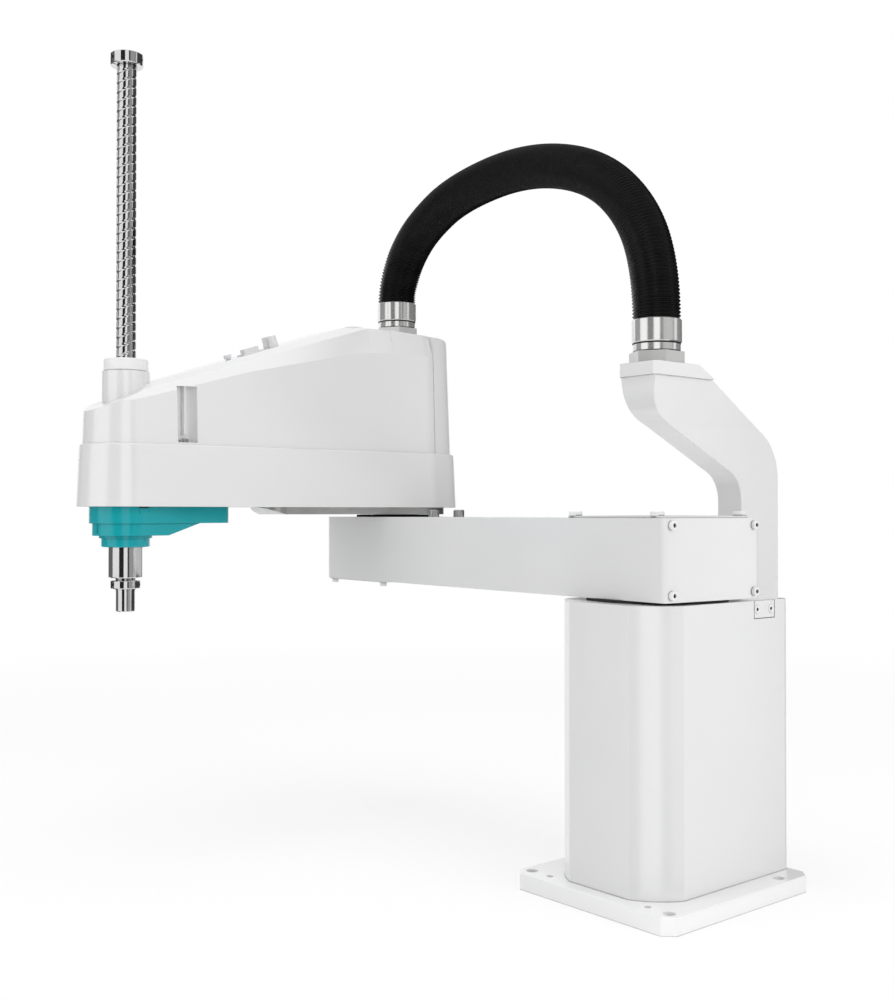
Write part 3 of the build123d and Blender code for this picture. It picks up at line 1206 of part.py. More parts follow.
with BuildPart() as brake_release_button:
    add(bar(spot(button_seat, 0, 0, BUTTON_TRAVEL + RUN_GAP), BUTTON_D, BUTTON_HEIGHT))
    fillet(brake_release_button.edges().filter_by(GeomType.CIRCLE).sort_by(Axis.Z)[-1], NUT_EDGE)
    add(bar(spot(button_seat, 0, 0, BUTTON_TRAVEL + RUN_GAP), BUTTON_STEM_D, -3 * COVER_WALL))
    add(bar(spot(button_seat, 0, 0, -COVER_WALL - RUN_GAP), BUTTON_D, -BUTTON_RING))
brake_release_button.part.label = "brake_release_button"
export_step(brake_release_button.part, "parts/brake_release_button.step")

with BuildPart() as user_connector:
    with BuildSketch(connector_seat):
        RectangleRounded(CONNECTOR_LENGTH, CONNECTOR_WIDTH, CONNECTOR_WALL)
    extrude(amount=CONNECTOR_WALL)
    with BuildSketch(connector_seat):
        RectangleRounded(CONNECTOR_LENGTH - 4 * CONNECTOR_WALL, CONNECTOR_WIDTH - 4 * CONNECTOR_WALL,
                         CONNECTOR_WALL)
    extrude(amount=CONNECTOR_HEIGHT)
    with BuildSketch(spot(connector_seat, 0, 0, CONNECTOR_HEIGHT)):
        Rectangle(CONNECTOR_LENGTH - 6 * CONNECTOR_WALL, CONNECTOR_WIDTH - 6 * CONNECTOR_WALL)
    extrude(amount=-CONNECTOR_HEIGHT + CONNECTOR_WALL, mode=Mode.SUBTRACT)
user_connector.part.label = "user_connector"
export_step(user_connector.part, "parts/user_connector.step")

with BuildPart() as user_air_fittings:
    add([air_fitting(seat) for seat in air_port_seats])
user_air_fittings.part.label = "user_air_fittings"
export_step(user_air_fittings.part, "parts/user_air_fittings.step")


# Quill housing and its neck

housing_top = spot(arm_2, ARM_2_LENGTH - HOUSING_LENGTH, 0, SKIRT_BOTTOM)
belly_top = spot(housing_top, 0, 0, -HOUSING_BAND)
belly_drop = HOUSING_BAND + HOUSING_BELLY
belly_x = ARM_2_LENGTH - BELLY_SLOPE_TO
belly_slope = HOUSING_BELLY / (BELLY_SLOPE_TO - BELLY_SLOPE_FROM)
neck_top = spot(quill_foot, 0, 0, -belly_drop)
neck_bottom = spot(neck_top, 0, 0, -NECK_LIP - NECK_HEIGHT)
sleeve_hole = SLEEVE_D + 2 * RUN_GAP


def housing_form(inset):
    """The housing's band and its belly, which slopes up towards the arm."""
    step = inset + HOUSING_STEP
    band = oval(housing_top, HOUSING_TIP_R - inset, HOUSING_R - inset, HOUSING_LENGTH)
    belly = oval(housing_top, HOUSING_TIP_R - step, HOUSING_R - step, HOUSING_LENGTH)
    ledge = SKIRT_BOTTOM - HOUSING_BAND + inset
    slope_foot = belly_x + inset * (1 + belly_slope) - inset / belly_slope
    with BuildPart(mode=Mode.PRIVATE) as form:
        extrude(belly, amount=-belly_drop + inset)
        with BuildSketch(upright(arm_2)):
            with BuildLine():
                Polyline((slope_foot, ledge), (0, ledge), (0, ledge - 2 * HOUSING_BELLY),
                         (slope_foot + 2 * HOUSING_BELLY / belly_slope, ledge - 2 * HOUSING_BELLY), close=True)
            make_face()
        extrude(amount=2 * HOUSING_R, both=True, mode=Mode.SUBTRACT)
        extrude(band, amount=-HOUSING_BAND + inset)
    return form.part


housing_outside = housing_form(0.0)
housing_inside = housing_form(HOUSING_WALL)

with BuildPart() as quill_housing:
    add(housing_outside)
    add(housing_inside, mode=Mode.SUBTRACT)
    add(bar(neck_top, NECK_SPIGOT_D + SCREW_GAP, HOUSING_WALL), mode=Mode.SUBTRACT)
quill_housing.part.label = "quill_housing"
export_step(quill_housing.part, "parts/quill_housing.step")

with BuildPart() as quill_neck:
    add(bar(neck_bottom, NECK_D, NECK_HEIGHT))
    add(bar(spot(neck_bottom, 0, 0, NECK_HEIGHT), NECK_LIP_D, NECK_LIP))
    chamfer(quill_neck.edges().filter_by(GeomType.CIRCLE).group_by(Axis.Z)[0], NUT_EDGE)
    add(bar(neck_top, NECK_SPIGOT_D, HOUSING_WALL))
    add(bar(neck_bottom, sleeve_hole, 2 * NECK_HEIGHT), mode=Mode.SUBTRACT)
quill_neck.part.label = "quill_neck"
export_step(quill_neck.part, "parts/quill_neck.step")


# Spline drive: nut, sleeve, pulley and the bearings that carry them and the ball nut

shaft_hole = SHAFT_D + 2 * SHAFT_FIT
nut_hole = SPLINE_NUT_D + 2 * SHAFT_FIT
roll_plane = spot(arm_2, ARM_2_LENGTH, 0, ROLL_PULLEY_Z)
lift_plane = spot(arm_2, ARM_2_LENGTH, 0, LIFT_PULLEY_Z)
bearing_foot = spot(quill_foot, 0, 0, TOWER_LEDGE)
ball_nut_foot = spot(arm_2, ARM_2_LENGTH, 0, BALL_NUT_BOTTOM)
ball_bearing_foot = spot(arm_2, ARM_2_LENGTH, 0, BALL_BEARING_BOTTOM)

with BuildPart() as spline_nut:
    with BuildSketch(spot(arm_2, ARM_2_LENGTH, 0, SLEEVE_TOP)):
        Circle(SPLINE_NUT_D / 2)
        Circle(shaft_hole / 2, mode=Mode.SUBTRACT)
    extrude(amount=SPLINE_NUT_TOP - SLEEVE_TOP)
spline_nut.part.label = "spline_nut"
export_step(spline_nut.part, "parts/spline_nut.step")

with BuildPart() as spline_sleeve:
    add(bar(spot(arm_2, ARM_2_LENGTH, 0, SLEEVE_BOTTOM), SLEEVE_D, SLEEVE_TOP - SLEEVE_BOTTOM))
    chamfer(spline_sleeve.edges().filter_by(GeomType.CIRCLE).sort_by(Axis.Z)[0], NUT_EDGE)
    add(bar(spot(arm_2, ARM_2_LENGTH, 0, SLEEVE_BOTTOM), shaft_hole, SLEEVE_TOP - SLEEVE_BOTTOM),
        mode=Mode.SUBTRACT)
spline_sleeve.part.label = "spline_sleeve"
export_step(spline_sleeve.part, "parts/spline_sleeve.step")

with BuildPart() as spline_pulley:
    add(pulley(roll_plane, SPLINE_PULLEY_D, nut_hole))
spline_pulley.part.label = "spline_pulley"
export_step(spline_pulley.part, "parts/spline_pulley.step")

with BuildPart() as quill_bearings:
    for lift in (0, BEARING_PITCH):
        add(bar(spot(bearing_foot, 0, 0, lift), BEARING_D, BEARING_WIDTH, nut_hole))
    add(bar(ball_bearing_foot, BEARING_D, BEARING_WIDTH, BALL_NUT_D + 2 * SHAFT_FIT))
quill_bearings.part.label = "quill_bearings"
export_step(quill_bearings.part, "parts/quill_bearings.step")

with BuildPart() as ball_nut:
    add(bar(ball_nut_foot, BALL_NUT_D, BALL_NUT_TOP - BALL_NUT_BOTTOM, shaft_hole))
ball_nut.part.label = "ball_nut"
export_step(ball_nut.part, "parts/ball_nut.step")

with BuildPart() as ball_nut_pulley:
    add(pulley(lift_plane, BALL_PULLEY_D, BALL_NUT_D + 2 * SHAFT_FIT))
ball_nut_pulley.part.label = "ball_nut_pulley"
export_step(ball_nut_pulley.part, "parts/ball_nut_pulley.step")


# Motors and belts of the quill

roll_shaft_foot = spot(arm_2, roll_motor_x, 0, ROLL_PULLEY_Z)
lift_pulley_foot = spot(arm_2, lift_motor_x, 0, LIFT_PULLEY_Z)
lift_motor_foot = spot(lift_seat, 0, 0, BRAKE_HEIGHT)

with BuildPart() as roll_motor:
    add(servo_motor(roll_seat, ROLL_MOTOR_SIDE, ROLL_MOTOR_HEIGHT))
    add(bar(roll_seat, ROLL_MOTOR_SHAFT_D, -(roll_seat.origin.Z - ROLL_PULLEY_Z)))
roll_motor.part.label = "roll_motor"
export_step(roll_motor.part, "parts/roll_motor.step")

with BuildPart() as roll_motor_pulley:
    add(pulley(roll_shaft_foot, ROLL_PULLEY_D, ROLL_MOTOR_SHAFT_D + 2 * SHAFT_FIT))
roll_motor_pulley.part.label = "roll_motor_pulley"
export_step(roll_motor_pulley.part, "parts/roll_motor_pulley.step")

with BuildPart() as roll_belt:
    add(belt(roll_shaft_foot, ROLL_PULLEY_D, SPLINE_PULLEY_D, ROLL_CENTRES))
roll_belt.part.label = "roll_belt"
export_step(roll_belt.part, "parts/roll_belt.step")

with BuildPart() as lift_brake:
    add(bar(lift_seat, BRAKE_D, BRAKE_HEIGHT))
lift_brake.part.label = "lift_brake"
export_step(lift_brake.part, "parts/lift_brake.step")

with BuildPart() as lift_motor:
    add(servo_motor(facing_down(spot(lift_motor_foot, 0, 0, LIFT_MOTOR_HEIGHT)), LIFT_MOTOR_SIDE,
                    LIFT_MOTOR_HEIGHT))
    add(bar(spot(lift_motor_foot, 0, 0, LIFT_MOTOR_HEIGHT), LIFT_MOTOR_SHAFT_D,
            LIFT_PULLEY_Z + PULLEY_WIDTH - lift_motor_foot.origin.Z - LIFT_MOTOR_HEIGHT))
lift_motor.part.label = "lift_motor"
export_step(lift_motor.part, "parts/lift_motor.step")

with BuildPart() as lift_motor_pulley:
    add(pulley(lift_pulley_foot, LIFT_PULLEY_D, LIFT_MOTOR_SHAFT_D + 2 * SHAFT_FIT))
lift_motor_pulley.part.label = "lift_motor_pulley"
export_step(lift_motor_pulley.part, "parts/lift_motor_pulley.step")

with BuildPart() as lift_belt:
    add(belt(lift_pulley_foot, LIFT_PULLEY_D, BALL_PULLEY_D, LIFT_CENTRES))
lift_belt.part.label = "lift_belt"
export_step(lift_belt.part, "parts/lift_belt.step")


# Quill: a hollow ball-screw-spline shaft with a plain tool seat below and two stop collars

shaft_foot = spot(arm_2, ARM_2_LENGTH, 0, SHAFT_BOTTOM)
shaft_length = SHAFT_TOP - SHAFT_BOTTOM

with BuildPart() as ball_screw_shaft:
    add(bar(shaft_foot, TOOL_SEAT_D, TOOL_SEAT_HEIGHT, SHAFT_BORE))
    chamfer(ball_screw_shaft.edges().group_by(Axis.Z)[0].sort_by(SortBy.LENGTH)[-1], SHAFT_EDGE)
    with BuildSketch(spot(shaft_foot, 0, 0, TOOL_SEAT_HEIGHT)):
        Circle(SHAFT_D / 2)
        with PolarLocations(SHAFT_D / 2, SPLINE_GROOVES):
            Circle(SPLINE_GROOVE_D / 2, mode=Mode.SUBTRACT)
        Circle(SHAFT_BORE / 2, mode=Mode.SUBTRACT)
    extrude(amount=shaft_length - TOOL_SEAT_HEIGHT)
ball_screw_shaft.part.label = "ball_screw_shaft"
export_step(ball_screw_shaft.part, "parts/ball_screw_shaft.step")


def stop_collar(plane, diameter, height):
    """A split clamping collar round the shaft."""
    with BuildPart(mode=Mode.PRIVATE) as collar:
        add(bar(plane, diameter, height))
        chamfer(collar.edges().filter_by(GeomType.CIRCLE), NUT_EDGE)
        add(bar(plane, shaft_hole, height), mode=Mode.SUBTRACT)
        with BuildSketch(plane):
            Rectangle(diameter, COLLAR_SLOT, align=(Align.MIN, Align.CENTER))
        extrude(amount=height, mode=Mode.SUBTRACT)
    return collar.part


with BuildPart() as upper_stop_collar:
    add(stop_collar(spot(shaft_foot, 0, 0, shaft_length - TOP_COLLAR_HEIGHT), TOP_COLLAR_D,
                    TOP_COLLAR_HEIGHT))
upper_stop_collar.part.label = "upper_stop_collar"
export_step(upper_stop_collar.part, "parts/upper_stop_collar.step")

with BuildPart() as lower_stop_collar:
    add(stop_collar(spot(shaft_foot, 0, 0, LOWER_COLLAR_TOP - LOWER_COLLAR_HEIGHT - SHAFT_BOTTOM),
                    LOWER_COLLAR_D, LOWER_COLLAR_HEIGHT))
lower_stop_collar.part.label = "lower_stop_collar"
export_step(lower_stop_collar.part, "parts/lower_stop_collar.step")
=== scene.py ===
import json
from math import ceil, cos, pi, radians, sin, sqrt

import bmesh
import bpy
from mathutils import Matrix, Vector

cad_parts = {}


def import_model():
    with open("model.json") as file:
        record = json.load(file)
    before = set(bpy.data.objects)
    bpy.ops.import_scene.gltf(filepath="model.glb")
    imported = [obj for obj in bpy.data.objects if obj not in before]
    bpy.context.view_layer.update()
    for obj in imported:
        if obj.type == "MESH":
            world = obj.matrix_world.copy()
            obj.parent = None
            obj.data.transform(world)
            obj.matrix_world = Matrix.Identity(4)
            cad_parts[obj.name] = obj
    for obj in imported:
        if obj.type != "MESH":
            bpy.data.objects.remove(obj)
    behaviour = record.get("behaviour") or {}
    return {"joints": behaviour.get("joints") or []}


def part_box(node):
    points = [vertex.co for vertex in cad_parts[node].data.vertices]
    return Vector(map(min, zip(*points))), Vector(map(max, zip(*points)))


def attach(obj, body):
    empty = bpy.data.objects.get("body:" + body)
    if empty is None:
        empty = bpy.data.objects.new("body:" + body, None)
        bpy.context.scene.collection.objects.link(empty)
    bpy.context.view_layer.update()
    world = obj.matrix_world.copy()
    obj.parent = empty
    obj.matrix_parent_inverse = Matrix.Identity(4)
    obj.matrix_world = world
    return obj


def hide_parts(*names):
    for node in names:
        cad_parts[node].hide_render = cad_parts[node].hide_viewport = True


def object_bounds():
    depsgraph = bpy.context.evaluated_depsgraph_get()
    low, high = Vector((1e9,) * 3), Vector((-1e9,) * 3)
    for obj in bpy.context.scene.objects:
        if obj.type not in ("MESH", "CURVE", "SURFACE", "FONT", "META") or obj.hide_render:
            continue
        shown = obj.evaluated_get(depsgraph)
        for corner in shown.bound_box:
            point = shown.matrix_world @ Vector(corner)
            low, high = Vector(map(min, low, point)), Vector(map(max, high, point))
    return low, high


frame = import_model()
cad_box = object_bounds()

# The looks of a four-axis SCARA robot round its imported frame. Everything is in metres and in the
# frame's axes: the origin under the shoulder axis, +X the front of the base, +Z up.

MM = 0.001


# Places that the frame gives

def joint(name):
    """Where a joint's axis stands in plan."""
    found = next(j for j in frame["joints"] if j["name"] == name)
    return Vector((found["pos_m"][0], found["pos_m"][1], 0))


shoulder = joint("j1_shoulder")
elbow = joint("j2_elbow")
quill = joint("j4_roll")
arm_1_way = (elbow - shoulder).normalized()


# Camera: a fit of the photograph's perspective, which is 894 by 1000 pixels

CAMERA_PLACE = (1.1507, 0.9658, 0.4502)
CAMERA_HEADING = radians(-130.35)
CAMERA_PITCH = radians(0.62)
CAMERA_LENS = 44.47
CAMERA_SENSOR = 36.0
CAMERA_NEAR = 0.02
CAMERA_FAR = 100.0

level = cos(CAMERA_PITCH)
look = Vector((cos(CAMERA_HEADING) * level, sin(CAMERA_HEADING) * level, sin(CAMERA_PITCH)))
camera = bpy.data.objects.new("photo_camera", bpy.data.cameras.new("photo_camera"))
camera.data.lens = CAMERA_LENS
camera.data.sensor_width = CAMERA_SENSOR
camera.data.clip_start = CAMERA_NEAR
camera.data.clip_end = CAMERA_FAR
camera.location = CAMERA_PLACE
camera.rotation_euler = look.to_track_quat("-Z", "Y").to_euler()
bpy.context.scene.collection.objects.link(camera)
bpy.context.scene.camera = camera


# Mesh helpers

def new_piece(name, points, faces, smooth=True):
    """A mesh object made of points and faces."""
    mesh = bpy.data.meshes.new(name)
    mesh.from_pydata([tuple(p) for p in points], [], faces)
    mesh.update()
    for face in mesh.polygons:
        face.use_smooth = smooth
    piece = bpy.data.objects.new(name, mesh)
    bpy.context.scene.collection.objects.link(piece)
    return piece


def skin(rings, closed_loop=False):
    """The points and faces between rings of equally many points, with capped ends or joined in a loop."""
    count = len(rings[0])
    points = [p for ring in rings for p in ring]
    last = len(rings) if closed_loop else len(rings) - 1
    faces = []
    for i in range(last):
        a, b = i * count, (i + 1) % len(rings) * count
        faces += [(a + j, a + (j + 1) % count, b + (j + 1) % count, b + j) for j in range(count)]
    if not closed_loop:
        faces.append(tuple(reversed(range(count))))
        faces.append(tuple(range(last * count, len(rings) * count)))
    return points, faces


# Conduit: a corrugated hose along one smooth curve

HOSE_D = 58 * MM
RIB_PITCH = 4.3 * MM
RIB_DEPTH = 2.2 * MM
RIB_RINGS = 6
# Under 1 this narrows the crests of the ribs
RIB_POWER = 0.7
HOSE_SIDES = 56
ROUTE_RESOLUTION = 48
# How far out along the inner arm and how high the conduit's route runs
HOSE_ROUTE = [(0, 682), (0, 738), (30, 820), (107, 888), (240, 925), (393, 917),
              (478, 884), (522, 848), (543, 812), (550, 789), (550, 775.5)]


def smooth_line(route, name):
    """Points close together on the smooth curve of a route."""
    curve = bpy.data.curves.new(name, "CURVE")
    curve.dimensions = "3D"
    curve.resolution_u = ROUTE_RESOLUTION
    spline = curve.splines.new("NURBS")
    spline.points.add(len(route) - 1)
    for point, place in zip(spline.points, route):
        point.co = (*place, 1)
    spline.order_u = 3
    spline.use_endpoint_u = True
    holder = bpy.data.objects.new(name, curve)
    mesh = bpy.data.meshes.new_from_object(holder)
    line = [v.co.copy() for v in mesh.vertices]
    bpy.data.objects.remove(holder)
    bpy.data.curves.remove(curve)
    bpy.data.meshes.remove(mesh)
    return line


def stations(line, step):
    """Places and directions at equal steps along a line of points."""
    lengths = [(b - a).length for a, b in zip(line, line[1:])]
    count = ceil(sum(lengths) / step)
    found, run, i = [], 0.0, 0
    for k in range(count + 1):
        want = sum(lengths) * k / count
        while i < len(lengths) - 1 and run + lengths[i] < want:
            run += lengths[i]
            i += 1
        share = (want - run) / lengths[i]
        found.append((line[i].lerp(line[i + 1], share), (line[i + 1] - line[i]).normalized()))
    return found


def conduit():
    route = [shoulder + arm_1_way * x * MM + Vector((0, 0, z * MM)) for x, z in HOSE_ROUTE]
    line = smooth_line(route, "conduit_line")
    across = arm_1_way.cross(Vector((0, 0, 1)))
    rings = []
    for k, (place, way) in enumerate(stations(line, RIB_PITCH / RIB_RINGS)):
        valley = sin(pi * k / RIB_RINGS) ** 2
        radius = HOSE_D / 2 - RIB_DEPTH * valley ** RIB_POWER
        up = across.cross(way)
        rings.append([place + (across * cos(t) + up * sin(t)) * radius
                      for t in (2 * pi * j / HOSE_SIDES for j in range(HOSE_SIDES))])
    piece = new_piece("corrugated_conduit", *skin(rings))
    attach(piece, "inner_arm")
    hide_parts("hose_conduit")
    return piece


# Quill shaft: ball grooves that wind round it, spline grooves along it and a plain tool seat

SHAFT_R = 13 * MM
SHAFT_BORE_R = 7 * MM
SHAFT_EDGE = 1 * MM
SEAT_R = 12.5 * MM
SEAT_TOP = 348.6 * MM
GROOVES_FROM = 366 * MM
GROOVES_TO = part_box("ball_screw_shaft")[1].z - 3 * MM
GROOVE_LEAD = 25 * MM
GROOVE_STARTS = 2
GROOVE_HALF_WIDTH = 1.6 * MM
GROOVE_DEPTH = 0.8 * MM
GROOVE_FADE = 3 * MM
# Pairs of spline grooves: where the first pair stands, and how far each groove is from its pair's middle
SPLINE_PAIRS = 3
SPLINE_TURN = radians(104)
SPLINE_APART = radians(18)
SPLINE_HALF_ANGLE = radians(5)
SPLINE_DEPTH = 0.6 * MM
SHAFT_SIDES = 108
SHAFT_STEP = 0.7 * MM
SHARP_ANGLE = radians(30)


def round_groove(distance, half_width, depth):
    """How deep a groove of round section is at a distance from its middle."""
    share = distance / half_width
    return depth * sqrt(1 - share * share) if abs(share) < 1 else 0.0


def shaft_radius(angle, height):
    """How far out the shaft's surface is, with its grooves fading out at both ends."""
    inside = min(height - GROOVES_FROM, GROOVES_TO - height)
    fade = min(1.0, max(0.0, inside / GROOVE_FADE))
    if not fade:
        return SHAFT_R
    pitch = GROOVE_LEAD / GROOVE_STARTS
    wound = (height - GROOVE_LEAD * angle / (2 * pi)) % pitch - pitch / 2
    gap = 2 * pi / SPLINE_PAIRS
    off = (angle - SPLINE_TURN + gap / 2) % gap - gap / 2
    cut = max(round_groove(wound, GROOVE_HALF_WIDTH, GROOVE_DEPTH),
              round_groove(abs(off) - SPLINE_APART, SPLINE_HALF_ANGLE, SPLINE_DEPTH))
    return SHAFT_R - cut * fade


def ball_screw():
    low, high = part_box("ball_screw_shaft")
    bottom, top = low.z, high.z
    angles = [2 * pi * j / SHAFT_SIDES for j in range(SHAFT_SIDES)]

    def ring(height, radius=None):
        radii = [radius or shaft_radius(t, height) for t in angles]
        return [Vector((quill.x + r * cos(t), quill.y + r * sin(t), height)) for t, r in zip(angles, radii)]

    steps = ceil((GROOVES_TO - GROOVES_FROM) / SHAFT_STEP)
    rings = [ring(bottom, SEAT_R - SHAFT_EDGE), ring(bottom + SHAFT_EDGE, SEAT_R), ring(SEAT_TOP, SEAT_R),
             ring(SEAT_TOP, SHAFT_R)]
    rings += [ring(GROOVES_FROM + (GROOVES_TO - GROOVES_FROM) * k / steps) for k in range(steps + 1)]
    rings += [ring(top - SHAFT_EDGE, SHAFT_R), ring(top, SHAFT_R - SHAFT_EDGE),
              ring(top, SHAFT_BORE_R + SHAFT_EDGE / 2), ring(top - SHAFT_EDGE / 2, SHAFT_BORE_R),
              ring(bottom + SHAFT_EDGE / 2, SHAFT_BORE_R), ring(bottom, SHAFT_BORE_R + SHAFT_EDGE / 2)]
    piece = new_piece("grooved_shaft", *skin(rings, closed_loop=True))
    piece.data.set_sharp_from_angle(angle=SHARP_ANGLE)
    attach(piece, "quill")
    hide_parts("ball_screw_shaft")
    return piece


# Small fittings that sit on the frame's pieces

ROUND_STEPS = 3


def finish_piece(piece, body, slot):
    """Gives a small fitting its body and its slot's material."""
    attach(piece, body)
    piece.data.materials.append(bpy.data.materials[slot])


def block(name, body, slot, centre, heading, size, round_off):
    """A block with rounded edges whose outer face looks along a heading: width, height and thickness."""
    form = bmesh.new()
    bmesh.ops.create_cube(form, size=1)
    bmesh.ops.scale(form, vec=(size[2], size[0], size[1]), verts=form.verts)
    bmesh.ops.bevel(form, geom=form.edges, offset=round_off, segments=ROUND_STEPS, profile=0.5,
                    affect="EDGES")
    bmesh.ops.rotate(form, matrix=Matrix.Rotation(heading, 3, "Z"), verts=form.verts)
    bmesh.ops.translate(form, vec=centre, verts=form.verts)
    mesh = bpy.data.meshes.new(name)
    form.to_mesh(mesh)
    form.free()
    piece = bpy.data.objects.new(name, mesh)
    bpy.context.scene.collection.objects.link(piece)
    finish_piece(piece, body, slot)


SET_SCREW_R = 2.1 * MM
SET_SCREW_HEX = 1.2 * MM
SET_SCREW_PROUD = 0.35 * MM
SET_SCREW_DEEP = 0.3 * MM
SET_SCREWS = 3
SET_SCREW_TURN = radians(8)
SET_SCREW_SIDES = 12


def set_screws(collar):
    """Black socket set screws round a collar of the shaft."""
    low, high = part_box(collar)
    reach = (high.x - low.x) / 2
    points, faces = [], []
    for turn in (SET_SCREW_TURN + 2 * pi * k / SET_SCREWS for k in range(SET_SCREWS)):
        out = Vector((cos(turn), sin(turn), 0))
        side = Vector((-sin(turn), cos(turn), 0))
        middle = Vector((quill.x, quill.y, (low.z + high.z) / 2)) + out * reach
        steps = ((SET_SCREW_R, -SET_SCREW_R / 2), (SET_SCREW_R, SET_SCREW_PROUD),
                 (SET_SCREW_HEX, SET_SCREW_PROUD), (SET_SCREW_HEX, SET_SCREW_PROUD - SET_SCREW_DEEP))
        rings = []
        for radius, height in steps:
            rings.append([middle + out * height + (side * cos(t) + Vector((0, 0, sin(t)))) * radius
                          for t in (2 * pi * j / SET_SCREW_SIDES for j in range(SET_SCREW_SIDES))])
        start = len(points)
        more_points, more_faces = skin(rings)
        points += more_points
        faces += [tuple(start + i for i in face) for face in more_faces]
    finish_piece(new_piece(f"{collar}_screws", points, faces, smooth=False), "quill", "black_motor")


PAINTED_SHADOW_WIDTH = 0.7 * MM
PAINTED_SHADOW_PROUD = 0.12 * MM


def stop_plate_gasket():
    """A black strip round the shoulder's stop plate: painted shadow, standing in for the shade in the gap
    round the plate.
    """
    low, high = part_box("shoulder_stop_plate")
    face = high.y + PAINTED_SHADOW_PROUD
    back = face - PAINTED_SHADOW_WIDTH
    rings = []
    for grow, y in ((0, back), (PAINTED_SHADOW_WIDTH, back), (PAINTED_SHADOW_WIDTH, face), (0, face)):
        left, right, foot = low.x - grow, high.x + grow, low.z - grow
        corners = ((left, foot), (right, foot), (right, high.z), (left, high.z))
        rings.append([Vector((x, y, z)) for x, z in corners])
    piece = new_piece("stop_plate_gasket", *skin(rings, closed_loop=True), smooth=False)
    finish_piece(piece, "base", "black_rubber")


# The quill housing's latch on its side, the slot over it and the slit at its nose; the slot and the slit
# are black blocks, painted shade for the shade inside them
LATCH_SIZE = (13 * MM, 7 * MM, 3 * MM)
LATCH_Z = 453.8 * MM
LATCH_WALL_Y = 46.9 * MM
LATCH_X = -3 * MM
LATCH_ROUND = 0.9 * MM
SLOT_SIZE = (12 * MM, 1.2 * MM, 2.4 * MM)
SLOT_ROUND = 0.25 * MM
SLIT_SIZE = (1.0 * MM, 11 * MM, 1 * MM)
SLIT_REACH = 42.8 * MM
SLIT_Z = 429.5 * MM
SLIT_TURN = radians(8.3)
SLIT_ROUND = 0.2 * MM


def housing_details():
    wall = Vector((quill.x + LATCH_X, quill.y + LATCH_WALL_Y, LATCH_Z))
    block("housing_latch", "outer_arm", "teal_moulding", wall, pi / 2, LATCH_SIZE, LATCH_ROUND)
    over = Vector((0, 0, LATCH_SIZE[1] / 2 + SLOT_SIZE[1] / 2))
    block("latch_slot", "outer_arm", "black_rubber", wall + over, pi / 2, SLOT_SIZE, SLOT_ROUND)
    nose = Vector((quill.x + SLIT_REACH * cos(SLIT_TURN), quill.y + SLIT_REACH * sin(SLIT_TURN), SLIT_Z))
    block("housing_slit", "outer_arm", "black_rubber", nose, SLIT_TURN, SLIT_SIZE, SLIT_ROUND)


SHADE_RING_HEIGHT = 1.8 * MM
SHADE_RING_PROUD = 0.3 * MM
SHADE_RING_DEEP = 1.5 * MM


def fitting_painted_shade_ring(end):
    """A black ring that shows as a line between a conduit fitting's nut and its swivel ring: painted shade,
    standing in for the dark gap there.
    """
    low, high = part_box(f"{end}_swivel")
    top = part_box(f"{end}_gland_nut")[0].z
    centre = (low + high) / 2
    outer = (high.x - low.x) / 2 + SHADE_RING_PROUD
    rings = [[Vector((centre.x + radius * cos(t), centre.y + radius * sin(t), z))
              for t in (2 * pi * j / HOSE_SIDES for j in range(HOSE_SIDES))]
             for radius, z in ((outer, top - SHADE_RING_HEIGHT), (outer, top), (outer - SHADE_RING_DEEP, top),
                               (outer - SHADE_RING_DEEP, top - SHADE_RING_HEIGHT))]
    piece = new_piece(f"{end}_fitting_seal", *skin(rings, closed_loop=True), smooth=False)
    finish_piece(piece, "inner_arm", "black_rubber")


# Materials. Most take over the frame's material of their slot, and a few are new ones for some nodes.

# The grain of sprayed paint, finer than a pixel
GRAIN = 2600
# How round the edges look
PAINT_EDGE = 1.1 * MM
MOULDED_EDGE = 0.5 * MM
PLATED_EDGE = 0.5 * MM
# Where a mottle's two shades begin, in its noise
MOTTLE_DARK = 0.3
MOTTLE_LIGHT = 0.7
# How alike the rounded and the true normal are on an edge and off it: where the painted edge highlight is
# full and where it ends
ON_EDGE = 0.93
OFF_EDGE = 0.998
BEVEL_SAMPLES = 4
GAP_SAMPLES = 6


